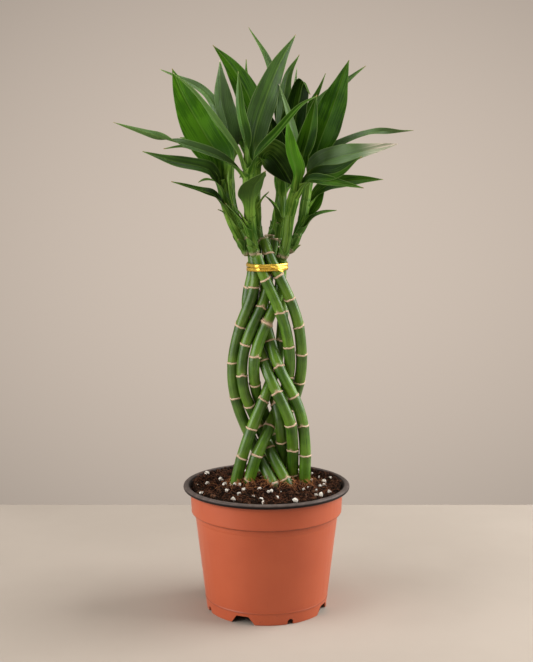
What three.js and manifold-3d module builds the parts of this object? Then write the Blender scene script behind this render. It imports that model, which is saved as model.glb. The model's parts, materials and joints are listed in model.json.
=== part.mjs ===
// A braided lucky bamboo (Dracaena sanderiana) in its nursery pot.
// Nine canes in three strands of three are plaited above the soil and tied near the top,
// and each cane carries one leafy shoot.
// Units are millimetres. +Z is up, and the origin is on the pot's axis at the surface it stands on.
// -Y is the side that the braid faces, and +X is to the right seen from there.

import * as THREE from "three";
import { mergeVertices } from "three/addons/utils/BufferGeometryUtils.js";
import Module from "manifold-3d";

const wasm = await Module();
wasm.setup();

// Pot
const POT_HEIGHT = 125.5;
const RIM_RADIUS = 83;
const RIM_DEPTH = 4.7;
const COLLAR_RADIUS = 75.8;
const COLLAR_BOTTOM = 97;
const BODY_TOP_RADIUS = 71.6;
const FOOT_RADIUS = 60.2;
const FOOT_HEIGHT = 11.5;
const WALL = 1.6;
const FLOOR_THICKNESS = 2;
const POT_SEGMENTS = 36;
const NOTCH_PAIRS = 4;
const WIDE_NOTCH = { bottom: 26, top: 13, height: 8.2 };
const ARCH_NOTCH = { width: 6, height: 5.4 };
const DRAIN_RADIUS = 4;
const DRAIN_CIRCLE = 34;

// Soil
const SOIL_EDGE_HEIGHT = 121.5;
const SOIL_MOUND = 9.5;
const SOIL_MOUND_RADIUS = 42;
const SOIL_MOUND_BACK = 6;
const SOIL_LUMP = 1.3;
const SOIL_RINGS = 7;
const SOIL_SEGMENTS = 36;

// Canes
const CANE_TOP_RADIUS = 5;
const CANE_BOTTOM_RADIUS = 5.8;
const CANE_ROOT = 76;
const NODE_RING_PROUD = 0.4;
const NODE_RING_HALF = 1.3;
const CANE_SIDES = 8;
const BRAID_BOTTOM = 118;
const BRAID_TOP = 374;
const LEVEL_STEP = 4;

// Tie
const TIE_CENTRE = 342;
const TIE_HEIGHT = 9;
const TIE_THICKNESS = 1.2;

// Shoots and leaves
const STEM_SIDES = 8;
const BLADE_THICKNESS = 0.7;

// Free space kept between pieces that touch
const GAP = 0.3;

const UP = new THREE.Vector3(0, 0, 1);
const vec = (x, y, z) => new THREE.Vector3(x, y, z);

// Materials
const terracotta = new THREE.MeshStandardMaterial({ color: 0xb35a3c, roughness: 0.5, metalness: 0 });
const soilDark = new THREE.MeshStandardMaterial({ color: 0x2b211c, roughness: 0.95, metalness: 0 });
const caneGreen = new THREE.MeshStandardMaterial({ color: 0x3f6a2b, roughness: 0.38, metalness: 0 });
const leafGreen = new THREE.MeshStandardMaterial({ color: 0x35601c, roughness: 0.35, metalness: 0 });
const goldFoil = new THREE.MeshStandardMaterial({ color: 0xd9a520, roughness: 0.3, metalness: 0.9 });

// Solids from meshes

function solidFrom(positions, triangles) {
  const mesh = new wasm.Mesh({
    numProp: 3,
    vertProperties: Float32Array.from(positions),
    triVerts: Uint32Array.from(triangles),
  });
  return new wasm.Manifold(mesh);
}

function solidOf(geometry) {
  geometry.deleteAttribute("normal");
  geometry.deleteAttribute("uv");
  const merged = mergeVertices(geometry, 1e-4);
  return solidFrom(merged.attributes.position.array, merged.index.array);
}

function toMesh(name, solid, material) {
  const { vertProperties, triVerts } = solid.getMesh();
  const geometry = new THREE.BufferGeometry();
  geometry.setAttribute("position", new THREE.BufferAttribute(vertProperties, 3));
  geometry.setIndex(new THREE.BufferAttribute(triVerts, 1));
  geometry.computeVertexNormals();
  const mesh = new THREE.Mesh(geometry, material);
  mesh.name = name;
  return mesh;
}

// A closed skin over a row of sections with the same number of points.
// Where split(k) is true the side from point k to k + 1 takes its other diagonal.
function loft(sections, capFrom = 0, split = () => false) {
  const count = sections[0].length;
  const positions = sections.flat().flatMap((p) => [p.x, p.y, p.z]);
  const triangles = [];
  for (let i = 0; i + 1 < sections.length; i++) {
    for (let k = 0; k < count; k++) {
      const a = i * count + k;
      const b = i * count + ((k + 1) % count);
      const c = b + count;
      const d = a + count;
      if (split(k)) triangles.push(a, b, d, b, c, d);
      else triangles.push(a, b, c, a, c, d);
    }
  }
  const last = (sections.length - 1) * count;
  for (let k = 1; k + 1 < count; k++) {
    const near = (capFrom + k) % count;
    const far = (capFrom + k + 1) % count;
    triangles.push(capFrom, far, near);
    triangles.push(last + capFrom, last + near, last + far);
  }
  return solidFrom(positions, triangles);
}

// A tube with round sections square to its path, of a radius for each point.
function tube(points, radii, sides) {
  const sections = points.map((point, i) => {
    const ahead = points[Math.min(i + 1, points.length - 1)];
    const behind = points[Math.max(i - 1, 0)];
    const along = ahead.clone().sub(behind).normalize();
    const across = vec(1, 0, 0).addScaledVector(along, -along.x).normalize();
    const other = along.clone().cross(across);
    return Array.from({ length: sides }, (_, k) => {
      const angle = (2 * Math.PI * k) / sides;
      return point.clone()
        .addScaledVector(across, radii[i] * Math.cos(angle))
        .addScaledVector(other, radii[i] * Math.sin(angle));
    });
  });
  return loft(sections);
}

// Pot: one thin shell with a rolled rim, a collar, a drained floor and a notched foot skirt

function potWallRadius(z) {
  return THREE.MathUtils.mapLinear(z, 0, COLLAR_BOTTOM, FOOT_RADIUS, BODY_TOP_RADIUS);
}

function lathe(profile, segments) {
  const geometry = new THREE.LatheGeometry(profile.map(([r, z]) => new THREE.Vector2(r, z)), segments);
  geometry.rotateX(Math.PI / 2);
  return solidOf(geometry);
}

function potSolid() {
  const rimBottom = POT_HEIGHT - RIM_DEPTH;
  const floorTop = FOOT_HEIGHT + FLOOR_THICKNESS;
  const profile = [
    [0, FOOT_HEIGHT],
    [potWallRadius(FOOT_HEIGHT) - WALL, FOOT_HEIGHT],
    [FOOT_RADIUS - WALL, 0],
    [FOOT_RADIUS, 0],
    [potWallRadius(FOOT_HEIGHT) + 0.3, FOOT_HEIGHT],
    [potWallRadius(FOOT_HEIGHT) - 0.1, FOOT_HEIGHT + 0.9],
    [BODY_TOP_RADIUS, COLLAR_BOTTOM],
    [COLLAR_RADIUS - 0.6, COLLAR_BOTTOM + 1.4],
    [COLLAR_RADIUS, rimBottom],
    [RIM_RADIUS - 1.6, rimBottom + 0.1],
    [RIM_RADIUS - 0.3, rimBottom + 1.2],
    [RIM_RADIUS, rimBottom + 2.6],
    [RIM_RADIUS - 0.9, POT_HEIGHT - 0.6],
    [RIM_RADIUS - 2.4, POT_HEIGHT],
    [COLLAR_RADIUS + 1.8, POT_HEIGHT - 0.5],
    [COLLAR_RADIUS - 0.2, POT_HEIGHT - 2.3],
    [COLLAR_RADIUS - WALL, POT_HEIGHT - 4.6],
    [COLLAR_RADIUS - WALL - 0.6, COLLAR_BOTTOM + 2.6],
    [BODY_TOP_RADIUS - WALL, COLLAR_BOTTOM + 0.6],
    [potWallRadius(floorTop) - WALL, floorTop],
    [0, floorTop],
  ];
  let pot = lathe(profile, POT_SEGMENTS);
  for (let i = 0; i < NOTCH_PAIRS; i++) {
    const angle = THREE.MathUtils.degToRad(-112.5 + (360 / NOTCH_PAIRS) * i);
    pot = pot.subtract(footNotch(wideNotchShape(), angle));
    pot = pot.subtract(footNotch(archNotchShape(), angle + Math.PI / NOTCH_PAIRS));
    pot = pot.subtract(drainHole(angle + Math.PI / NOTCH_PAIRS));
  }
  return pot;
}

function wideNotchShape() {
  const { bottom, top, height } = WIDE_NOTCH;
  return new THREE.Shape([
    new THREE.Vector2(-bottom / 2, -1),
    new THREE.Vector2(bottom / 2, -1),
    new THREE.Vector2(top / 2, height),
    new THREE.Vector2(-top / 2, height),
  ]);
}

function archNotchShape() {
  const { width, height } = ARCH_NOTCH;
  const shape = new THREE.Shape();
  shape.moveTo(-width / 2, -1);
  shape.lineTo(width / 2, -1);
  shape.absarc(0, height - width / 2, width / 2, 0, Math.PI, false);
  return shape;
}

function footNotch(shape, angle) {
  const reach = 12;
  const settings = { depth: reach, bevelEnabled: false, curveSegments: 6 };
  const geometry = new THREE.ExtrudeGeometry(shape, settings);
  geometry.rotateX(Math.PI / 2);
  geometry.rotateZ(Math.PI / 2);
  geometry.translate(FOOT_RADIUS - reach / 2, 0, 0);
  geometry.rotateZ(angle);
  return solidOf(geometry);
}

function drainHole(angle) {
  const geometry = new THREE.CylinderGeometry(DRAIN_RADIUS, DRAIN_RADIUS, 4 * FLOOR_THICKNESS, 10);
  geometry.rotateX(Math.PI / 2);
  geometry.translate(DRAIN_CIRCLE * Math.cos(angle), DRAIN_CIRCLE * Math.sin(angle), FOOT_HEIGHT + 1);
  return solidOf(geometry);
}

// Canes

// Each route lists x, y, z down the cane's middle. rings are the heights of its node rings.
const CANES = [
  {
    name: "cane_1", // left strand at the tie, front cane
    route: [[-12, -15, 356], [-7, -16, 342], [-1, -17, 330], [8.5, -16, 311], [17, -12, 291],
      [22, -8, 266], [24, -5, 246], [22, 4, 227], [17, 12, 210], [8, 10, 194], [1, -1, 178],
      [-8, -10, 162], [-15, -11, 142], [-19, -8, 124]],
    rings: [331, 298, 264, 234, 208, 182, 156, 130],
  },
  {
    name: "cane_2",
    route: [[-5, -8, 371], [1.5, -11, 356], [7, -14, 343], [14, -15, 330], [23, -13, 311],
      [31, -8, 291], [34, -5, 266], [35, -1, 245], [32, 6, 224], [27, 14, 208], [21, 20, 194],
      [13, 24, 175], [6, 24, 154], [-3, 20, 134], [-7, 16, 122]],
    rings: [355, 334, 311, 284, 256, 227, 198, 169, 141],
  },
  {
    name: "cane_3",
    route: [[17, 8, 361], [11.5, 7, 342], [14, 10, 325], [17, 9, 308], [16, 4, 289], [14, 5, 264],
      [10, 3, 244], [4, -1, 225], [-3, -7, 211], [-9, -11, 197], [-17, -12, 178], [-22, -12, 162],
      [-27, -10, 144], [-30, -7, 126]],
    rings: [350, 325, 297, 268, 238, 210, 183, 153.5, 126],
  },
  {
    name: "cane_4",
    route: [[-15, -7, 361], [-9.5, -7.5, 342], [-8.5, -6, 330], [-15, -8, 310], [-23, -6, 291],
      [-31, -2, 266], [-34, 0, 245], [-34, 2, 225], [-31, 2, 210], [-26, 3, 194], [-18, 3, 175],
      [-9, 2, 158], [0, -5, 140], [10, -16, 124]],
    rings: [322, 284, 247, 211, 176.5, 151, 126.5],
  },
  {
    name: "cane_5",
    route: [[11, 0, 370], [6.5, -1.5, 356], [0.5, -3, 342], [2, -4, 326], [0, -3, 310],
      [-11, -8, 291], [-21, -10, 266], [-24, -9, 246], [-24, -7, 226], [-19, -3, 210],
      [-13, 3, 194], [-3, 8, 176], [4, 0, 159], [14, -8, 140], [21, -13, 124]],
    rings: [335, 302, 266, 235, 205, 182, 160.5, 131],
  },
  {
    name: "cane_6",
    route: [[14, -6, 354], [13, -5, 342], [15.5, -1, 326], [12, 1, 310], [1, -8, 291],
      [-10, -11, 266], [-14, -12, 247], [-13, -8, 226], [-8, 7, 209], [-3, 16, 192], [5, 17, 180],
      [12, 16, 166], [15, 15, 151], [14, 21, 134], [13, 23, 122]],
    rings: [330, 287, 254, 227, 200, 173, 147],
  },
  {
    name: "cane_7",
    route: [[3, 12, 373], [3, 10, 353], [2, 9, 341], [-1, 9, 325], [-3, 9, 309], [-3, 5, 289],
      [6, -3, 265], [10, -9, 246], [21, -11, 227], [29, -8, 211], [35, -6, 196], [38, -4, 170],
      [38, -2, 149], [37, 0, 124]],
    rings: [355, 317, 290, 269, 244, 215, 184.5, 154.5, 125],
  },
  {
    name: "cane_8",
    route: [[-17, 6, 372], [-12.5, 5, 353], [-10, 4.5, 342], [-15.5, 2.5, 326], [-22, 3, 309],
      [-18, 5, 289], [-9, 3, 264], [-2, -5, 246], [6, -13, 227], [14, -15, 212], [21, -14, 197],
      [25, -8, 173], [26, -2, 154], [27, 2, 136], [27, 4, 124]],
    rings: [355, 338, 321, 290, 249, 219, 187.5, 160, 134],
  },
  {
    name: "cane_9",
    route: [[-9, 17, 372], [-8.5, 16, 353], [-8.5, 15.8, 341], [-11, 13, 325], [-15, 13, 308],
      [-10, 14, 288], [-3, 14, 263], [2, 12, 243], [6, 9, 223], [9, 2, 213], [12, -6, 200],
      [15, -8, 185], [15, -2, 170], [15, 4, 154], [15, 9, 139], [15, 11, 124]],
    rings: [350, 326, 297, 265, 234, 205, 168.5, 140],
  },
];

function caneRadius(z) {
  const depth = THREE.MathUtils.clamp(THREE.MathUtils.inverseLerp(BRAID_TOP, BRAID_BOTTOM, z), 0, 1);
  return THREE.MathUtils.lerp(CANE_TOP_RADIUS, CANE_BOTTOM_RADIUS, depth);
}

// The route's own curve, read at a height.
function routeAt(route, z) {
  const last = route.length - 1;
  let i = 0;
  while (i < last - 1 && z < route[i + 1][2]) i++;
  const t = (route[i][2] - z) / (route[i][2] - route[i + 1][2]);
  const slope = (k) => {
    const a = route[Math.max(k - 1, 0)];
    const b = route[Math.min(k + 1, last)];
    return [(b[0] - a[0]) / (a[2] - b[2]), (b[1] - a[1]) / (a[2] - b[2])];
  };
  const drop = route[i][2] - route[i + 1][2];
  const [s0, s1] = [slope(i), slope(i + 1)];
  return [0, 1].map((axis) => {
    const [p, q] = [route[i][axis], route[i + 1][axis]];
    const [m, n] = [s0[axis] * drop, s1[axis] * drop];
    const t2 = t * t;
    const t3 = t2 * t;
    return p * (2 * t3 - 3 * t2 + 1) + m * (t3 - 2 * t2 + t) + q * (3 * t2 - 2 * t3) + n * (t3 - t2);
  });
}

// The canes bend clear of each other: where two come too close, each moves half the way apart.
function settleCanes() {
  const levels = [];
  for (let z = BRAID_TOP; z >= BRAID_BOTTOM; z -= LEVEL_STEP) levels.push(z);
  const canes = CANES.map(({ route }) => levels.map((z) => routeAt(route, Math.min(z, route[0][2]))));
  const rooms = levels.map((z) => 2 * caneRadius(z) + NODE_RING_PROUD + 2 * GAP);
  const reach = 2;
  const rounds = 240;
  for (let round = 0; round < rounds; round++) {
    for (let a = 0; a < canes.length; a++) {
      for (let b = a + 1; b < canes.length; b++) {
        for (let i = 0; i < levels.length; i++) {
          for (let j = Math.max(i - reach, 0); j <= Math.min(i + reach, levels.length - 1); j++) {
            const dx = canes[b][j][0] - canes[a][i][0];
            const dy = canes[b][j][1] - canes[a][i][1];
            const flat = Math.hypot(dx, dy) + 1e-6;
            const rise = levels[i] - levels[j];
            const away = Math.hypot(flat, rise);
            if (away >= rooms[i]) continue;
            const push = Math.min((rooms[i] - away) / 2, 0.5);
            canes[a][i][0] -= (push * dx) / flat;
            canes[a][i][1] -= (push * dy) / flat;
            canes[b][j][0] += (push * dx) / flat;
            canes[b][j][1] += (push * dy) / flat;
          }
        }
      }
    }
    if (round % 8 === 0 && round < rounds - 40) canes.forEach(smoothLevels);
  }
  return canes.map((cane) => cane.map(([x, y], i) => vec(x, y, levels[i])));
}

function smoothLevels(cane) {
  const old = cane.map(([x, y]) => [x, y]);
  for (let i = 1; i + 1 < cane.length; i++) {
    for (const axis of [0, 1]) {
      cane[i][axis] = (old[i - 1][axis] + 2 * old[i][axis] + old[i + 1][axis]) / 4;
    }
  }
}

function levelPoint(levels, z) {
  const place = (BRAID_TOP - z) / LEVEL_STEP;
  const i = THREE.MathUtils.clamp(Math.floor(place), 0, levels.length - 2);
  const t = place - i;
  if (place > levels.length - 1) return levels.at(-1).clone().setZ(z);
  return levels[i].clone().lerp(levels[i + 1], Math.min(t, 1)).setZ(z);
}

function caneTop(cane) {
  return cane.route[0][2];
}

// The heights at which a cane gets a section: its ends, three at each node ring and one between rings.
function caneStations(cane) {
  const stations = [{ z: caneTop(cane), proud: -0.5 }, { z: caneTop(cane) - 1.2, proud: 0 }];
  let above = caneTop(cane);
  for (const z of cane.rings) {
    const gap = above - z;
    if (gap > 16) stations.push({ z: z + gap / 2, proud: 0 });
    stations.push({ z: z + NODE_RING_HALF, proud: 0 });
    stations.push({ z, proud: NODE_RING_PROUD });
    stations.push({ z: z - NODE_RING_HALF, proud: 0 });
    above = z;
  }
  stations.push({ z: BRAID_BOTTOM - 2, proud: 0 });
  stations.push({ z: CANE_ROOT, proud: -0.6 });
  return stations;
}

function caneSolid(cane, levels, grow) {
  const stations = caneStations(cane);
  const points = stations.map(({ z }) => levelPoint(levels, z));
  points[0].z += grow;
  points.at(-1).z -= grow;
  const radii = stations.map(({ z, proud }) => caneRadius(z) + proud + grow);
  return tube(points, radii, CANE_SIDES);
}

// Soil: a plug that fills the pot, mounded to the canes, with a plain hole for each cane

function soilHeight(x, y) {
  const away = Math.hypot(x, y - SOIL_MOUND_BACK) / SOIL_MOUND_RADIUS;
  const mound = SOIL_MOUND * Math.exp(-away * away);
  const lumps = Math.sin(x * 0.31 + y * 0.17) * Math.cos(y * 0.27 - x * 0.11)
    + 0.7 * Math.sin(x * 0.53 - y * 0.49 + 1.3);
  return SOIL_EDGE_HEIGHT + mound + SOIL_LUMP * lumps * 0.6;
}

function soilSolid(holes) {
  const bottom = FOOT_HEIGHT + FLOOR_THICKNESS + GAP;
  const inside = (z) => potWallRadius(z) - WALL - GAP;
  const collar = COLLAR_RADIUS - WALL - 0.6 - GAP;
  const sections = [
    { z: bottom, radius: inside(bottom) },
    { z: COLLAR_BOTTOM + 1, radius: inside(COLLAR_BOTTOM) },
    { z: COLLAR_BOTTOM + 3, radius: collar },
  ];
  const around = (radius, height) => Array.from({ length: SOIL_SEGMENTS }, (_, k) => {
    const angle = (2 * Math.PI * k) / SOIL_SEGMENTS;
    const x = radius * Math.cos(angle);
    const y = radius * Math.sin(angle);
    return vec(x, y, height ?? soilHeight(x, y));
  });
  const rings = sections.map(({ z, radius }) => around(radius, z));
  for (let i = SOIL_RINGS; i >= 1; i--) rings.push(around((collar * i) / SOIL_RINGS));
  let soil = loft(rings);
  for (const hole of holes) soil = soil.subtract(hole);
  return largestBody(soil);
}

function largestBody(solid) {
  const bodies = solid.decompose();
  return bodies.reduce((best, body) => (body.volume() > best.volume() ? body : best));
}

// Tie: a flat foil band pulled round all nine canes

function convexHull(points) {
  const sorted = [...points].sort((a, b) => a.x - b.x || a.y - b.y);
  const turn = (o, a, b) => (a.x - o.x) * (b.y - o.y) - (a.y - o.y) * (b.x - o.x);
  const half = (list) => {
    const chain = [];
    for (const p of list) {
      while (chain.length > 1 && turn(chain.at(-2), chain.at(-1), p) <= 0) chain.pop();
      chain.push(p);
    }
    return chain.slice(0, -1);
  };
  return [...half(sorted), ...half(sorted.reverse())];
}

function bundleOutline(routes, margin) {
  const points = [];
  const corners = 16;
  for (const z of [TIE_CENTRE - TIE_HEIGHT / 2, TIE_CENTRE, TIE_CENTRE + TIE_HEIGHT / 2]) {
    const radius = caneRadius(z) + margin;
    for (const levels of routes) {
      const centre = levelPoint(levels, z);
      for (let k = 0; k < corners; k++) {
        const angle = (2 * Math.PI * k) / corners;
        const x = centre.x + radius * Math.cos(angle);
        const y = centre.y + radius * Math.sin(angle);
        points.push(new THREE.Vector2(x, y));
      }
    }
  }
  return convexHull(points);
}

function tieSolid(routes) {
  const shape = new THREE.Shape(bundleOutline(routes, 1.4 * GAP + TIE_THICKNESS));
  shape.holes.push(new THREE.Path(bundleOutline(routes, 1.4 * GAP)));
  const geometry = new THREE.ExtrudeGeometry(shape, { depth: TIE_HEIGHT, bevelEnabled: false });
  geometry.translate(0, 0, TIE_CENTRE - TIE_HEIGHT / 2);
  return solidOf(geometry);
}

// Shoots: a sheathed stem with its leaves, seated on the side of a cane's top

// A leaf leaves its stem at a fraction t of the stem, runs through its mid points and ends at tip.
// One without mid points arches freely, and droop bends its tip down where it is negative.
// roll turns the blade about its own length, in degrees.
const SHOOTS = [
  {
    name: "shoot_1", cane: 3, girth: 0.95,
    axis: [[-20, -9, 358], [-27, -11, 372], [-34, -13, 388], [-39, -15, 405], [-42, -17, 426]],
    leaves: [
      {
        t: 0.94, mid: [[-45, -14, 447], [-57, -12, 466], [-79, -8, 505]], tip: [-90, -6, 531],
        width: 36, roll: -78,
      },
      {
        t: 0.86, mid: [[-47, -12, 431], [-56, -9, 447], [-77, -7, 457]], tip: [-99, -5, 456],
        width: 10, roll: -40,
      },
      {
        t: 0.74, mid: [[-51, -23, 430], [-60, -29, 437], [-88, -36, 443]], tip: [-116, -34, 452],
        width: 15, roll: -55,
      },
      { t: 0.52, mid: [[-47, -27, 409], [-60, -38, 415]], tip: [-88, -48, 424], width: 10, roll: -45 },
      { t: 0.3, droop: -0.6, tip: [-46, -24, 398], width: 6, roll: 0 },
    ],
  },
  {
    name: "shoot_2", cane: 0, girth: 1.08,
    axis: [[-12, -18, 358], [-14, -21, 374], [-16, -24, 393], [-17, -27, 414], [-17, -30, 440]],
    leaves: [
      {
        t: 1, mid: [[-9, -24, 477], [-1, -19, 501], [12, -11, 534]], tip: [28, -2, 563],
        width: 24, roll: 78,
      },
      {
        t: 0.96, mid: [[-25, -36, 449], [-45, -40, 477], [-66, -42, 505]], tip: [-86, -42, 523],
        width: 8, roll: 40,
      },
      {
        t: 0.9, mid: [[-27, -32, 437], [-52, -37, 450], [-99, -41, 465]], tip: [-142, -40, 478],
        width: 11, roll: -55,
      },
      { t: 1, mid: [[-20, -35, 464], [-25, -38, 490]], tip: [-26, -36, 525], width: 13, roll: -75 },
      {
        t: 0.94, mid: [[-7, -43, 451], [9, -51, 468], [30, -47, 492]], tip: [47, -38, 503],
        width: 9, roll: 60,
      },
      { t: 0.5, mid: [[-12, -46, 417], [-7, -62, 425]], tip: [-1, -80, 433], width: 26, roll: 12 },
      { t: 0.28, droop: 0.1, tip: [-38, -34, 404], width: 5, roll: -30 },
      { t: 0.38, droop: 0.1, tip: [-31, -33, 403], width: 4.5, roll: -30 },
    ],
  },
  {
    name: "shoot_3", cane: 5, girth: 1.05,
    axis: [[17, -9, 355], [20, -12, 372], [22, -15, 389], [25, -18, 406], [31, -21, 428]],
    leaves: [
      { t: 0.88, mid: [[28, -32, 435], [23, -38, 453]], tip: [19, -41, 481], width: 16, roll: -10 },
      { t: 1, mid: [[35, -24, 449], [41, -25, 472]], tip: [47, -22, 505], width: 18, roll: 70 },
      { t: 0.98, mid: [[29, -17, 452], [22, -13, 485]], tip: [12, -11, 516], width: 8, roll: -50 },
      { t: 0.9, mid: [[48, -25, 429], [68, -34, 433]], tip: [88, -41, 447], width: 18, roll: 70 },
      { t: 0.8, mid: [[40, -27, 425], [57, -36, 424]], tip: [90, -48, 418], width: 12, roll: 50 },
    ],
  },
  {
    name: "shoot_4", cane: 2, girth: 0.92,
    axis: [[24, 8, 359], [30, 9, 373], [35, 10, 387], [38, 10, 404], [42, 8, 431]],
    leaves: [
      { t: 1, mid: [[51, 7, 460], [64, 4, 495]], tip: [79, 2, 540], width: 33, roll: 75 },
      {
        t: 0.93, mid: [[44, 5, 437], [61, 4, 454], [100, 4, 471]], tip: [142, 2, 473],
        width: 12, roll: 40,
      },
      {
        t: 0.8, mid: [[44, 0, 429], [56, -12, 443], [86, -26, 451]], tip: [123, -34, 459],
        width: 23, roll: 60,
      },
      { t: 0.72, mid: [[58, 17, 420], [90, 22, 426]], tip: [116, 28, 427], width: 14, roll: 60 },
      { t: 0.5, droop: 0, tip: [58, 22, 420], width: 17, roll: 60 },
      { t: 0.3, mid: [[42, 9, 388], [53, 9, 394]], tip: [69, 8, 397], width: 7, roll: 30 },
    ],
  },
  {
    name: "shoot_5", cane: 4, girth: 1,
    axis: [[12, 2, 368], [14, 5, 386], [15, 7, 403], [15, 9, 420], [15, 10, 438]],
    leaves: [
      {
        t: 1, mid: [[26, 12, 475], [32, 14, 504], [36, 8, 519]], tip: [41, -12, 506],
        width: 26, roll: 100,
      },
      { t: 0.9, mid: [[30, 17, 474], [49, 24, 509]], tip: [58, 26, 530], width: 10, roll: 45 },
      { t: 0.85, droop: 0.1, tip: [2, 12, 492], width: 24, roll: -80 },
      { t: 0.25, mid: [[9, -3, 399], [4, -7, 406]], tip: [-1, -9, 411], width: 11, roll: -45 },
    ],
  },
  {
    name: "shoot_6", cane: 1, girth: 0.92,
    axis: [[-7, -8, 369], [-9, -8, 386], [-10, -8, 402], [-10, -8, 424], [-9, -8, 445]],
    leaves: [
      {
        t: 1, mid: [[-7, -2, 472], [-17, 13, 506], [-34, 24, 536]], tip: [-53, 32, 558],
        width: 25, roll: -70,
      },
      { t: 0.95, mid: [[1, -14, 450], [12, -17, 442]], tip: [26, -11, 420], width: 30, roll: 80 },
      { t: 0.9, droop: 0.2, tip: [-24, -8, 505], width: 14, roll: -70 },
      { t: 0.5, mid: [[-5, -18, 408]], tip: [2, -22, 415], width: 6, roll: 30 },
    ],
  },
  {
    name: "shoot_7", cane: 7, girth: 0.92,
    axis: [[-20, 7, 370], [-28, 12, 385], [-34, 16, 402], [-36, 18, 422], [-36, 20, 442]],
    leaves: [
      { t: 1, mid: [[-38, 16, 475], [-44, 13, 504]], tip: [-45, 14, 541], width: 28, roll: -80 },
      { t: 0.95, mid: [[-43, 26, 478], [-62, 35, 513]], tip: [-106, 41, 536], width: 13, roll: -40 },
      { t: 0.8, droop: -0.4, tip: [-88, 58, 470], width: 14, roll: -20 },
      { t: 0.6, droop: -0.5, tip: [-70, 66, 425], width: 12, roll: 0 },
      { t: 0.9, droop: -0.4, tip: [-60, 83, 484], width: 16, roll: 0 },
    ],
  },
  {
    name: "shoot_8", cane: 6, girth: 0.92,
    axis: [[5, 14, 370], [9, 20, 386], [13, 26, 404], [15, 31, 425], [15, 34, 447]],
    leaves: [
      { t: 1, mid: [[16, 40, 490], [21, 46, 528]], tip: [33, 50, 551], width: 15, roll: 60 },
      { t: 0.97, droop: -0.2, tip: [100, 56, 541], width: 16, roll: 50 },
      { t: 0.95, mid: [[13, 42, 490], [3, 48, 541]], tip: [-18, 56, 579], width: 10, roll: -60 },
      { t: 0.92, mid: [[27, 56, 510]], tip: [31, 61, 540], width: 8, roll: 30 },
      { t: 0.9, droop: -0.4, tip: [74, 62, 476], width: 14, roll: 20 },
      { t: 0.8, droop: -0.3, tip: [42, 83, 490], width: 18, roll: 0 },
      { t: 0.6, droop: -0.5, tip: [60, 68, 424], width: 14, roll: 10 },
      { t: 0.5, droop: -0.5, tip: [12, 82, 436], width: 12, roll: 0 },
    ],
  },
  {
    name: "shoot_9", cane: 8, girth: 0.92,
    axis: [[-9, 18, 370], [-11, 24, 385], [-13, 29, 402], [-14, 32, 424], [-14, 35, 444]],
    leaves: [
      { t: 1, mid: [[-17, 48, 490]], tip: [-21, 64, 548], width: 15, roll: -50 },
      { t: 0.96, droop: -0.2, tip: [-50, 66, 515], width: 20, roll: -40 },
      { t: 0.9, droop: 0.1, tip: [8, 20, 528], width: 26, roll: 75 },
      { t: 0.85, droop: -0.4, tip: [-34, 85, 482], width: 16, roll: 0 },
      { t: 0.6, droop: -0.5, tip: [-28, 80, 430], width: 12, roll: 0 },
    ],
  },
];

const STEM_RADII = [3.2, 4.4, 4.3, 4.6, 4.9, 2.8];
const LEAF_LIFT = 0.55;
const BLADE_STATIONS = [0, 0.14, 0.28, 0.43, 0.58, 0.73, 0.87, 1];
const ARCH_STATIONS = [0, 0.18, 0.38, 0.6, 0.82, 1];

// Half the blade's width at a fraction s of its length, as a share of its full width.
function bladeShare(s) {
  const leaf = Math.sin(Math.PI * Math.pow(s, 0.8));
  return 0.5 * (0.96 * Math.max(leaf, 0) + 0.26 * Math.pow(1 - s, 1.5));
}

function stemPoint(axis, t) {
  const curve = new THREE.CatmullRomCurve3(axis.map((p) => vec(...p)));
  return curve.getPoint(Math.min(t, 1));
}

// The line down the middle of a leaf, from its stem to its tip.
function leafMidrib(axis, leaf) {
  const start = stemPoint(axis, leaf.t);
  const tip = vec(...leaf.tip);
  if (leaf.mid) {
    const points = [start, ...leaf.mid.map((p) => vec(...p)), tip];
    return new THREE.CatmullRomCurve3(points, false, "catmullrom");
  }
  const chord = tip.clone().sub(start);
  const reach = 0.34 * chord.length();
  chord.normalize();
  const stemWay = stemPoint(axis, leaf.t).sub(stemPoint(axis, leaf.t - 0.1)).normalize();
  const leave = chord.clone().lerp(stemWay, LEAF_LIFT).normalize();
  const arrive = chord.clone().addScaledVector(UP, leaf.droop).normalize();
  return new THREE.CubicBezierCurve3(
    start,
    start.clone().addScaledVector(leave, reach),
    tip.clone().addScaledVector(arrive, -reach),
    tip,
  );
}

function leafSolid(axis, leaf) {
  const midrib = leafMidrib(axis, leaf);
  const chord = midrib.getPoint(1).sub(midrib.getPoint(0)).normalize();
  const across = chord.clone().cross(UP).normalize()
    .applyAxisAngle(chord, THREE.MathUtils.degToRad(leaf.roll));
  const facing = across.clone().cross(chord);
  const stations = leaf.mid ? BLADE_STATIONS : ARCH_STATIONS;
  const sections = stations.map((s) => {
    const middle = midrib.getPointAt(s);
    const along = midrib.getTangentAt(s);
    const side = across.clone().addScaledVector(along, -across.dot(along))
      .add(along.clone().cross(facing)).normalize();
    const face = side.clone().cross(along);
    const half = Math.max(leaf.width * bladeShare(s), 0.5);
    const fold = THREE.MathUtils.degToRad(14 + 40 * (1 - s) ** 3);
    const edge = (way) => middle.clone()
      .addScaledVector(side, way * half * Math.cos(fold))
      .addScaledVector(face, half * Math.sin(fold));
    const upper = [edge(-1), middle, edge(1)];
    const lower = upper.map((p) => p.clone().addScaledVector(face, -BLADE_THICKNESS)).reverse();
    return [...upper, ...lower];
  });
  return loft(sections, 1, (k) => k === 3 || k === 4);
}

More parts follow.
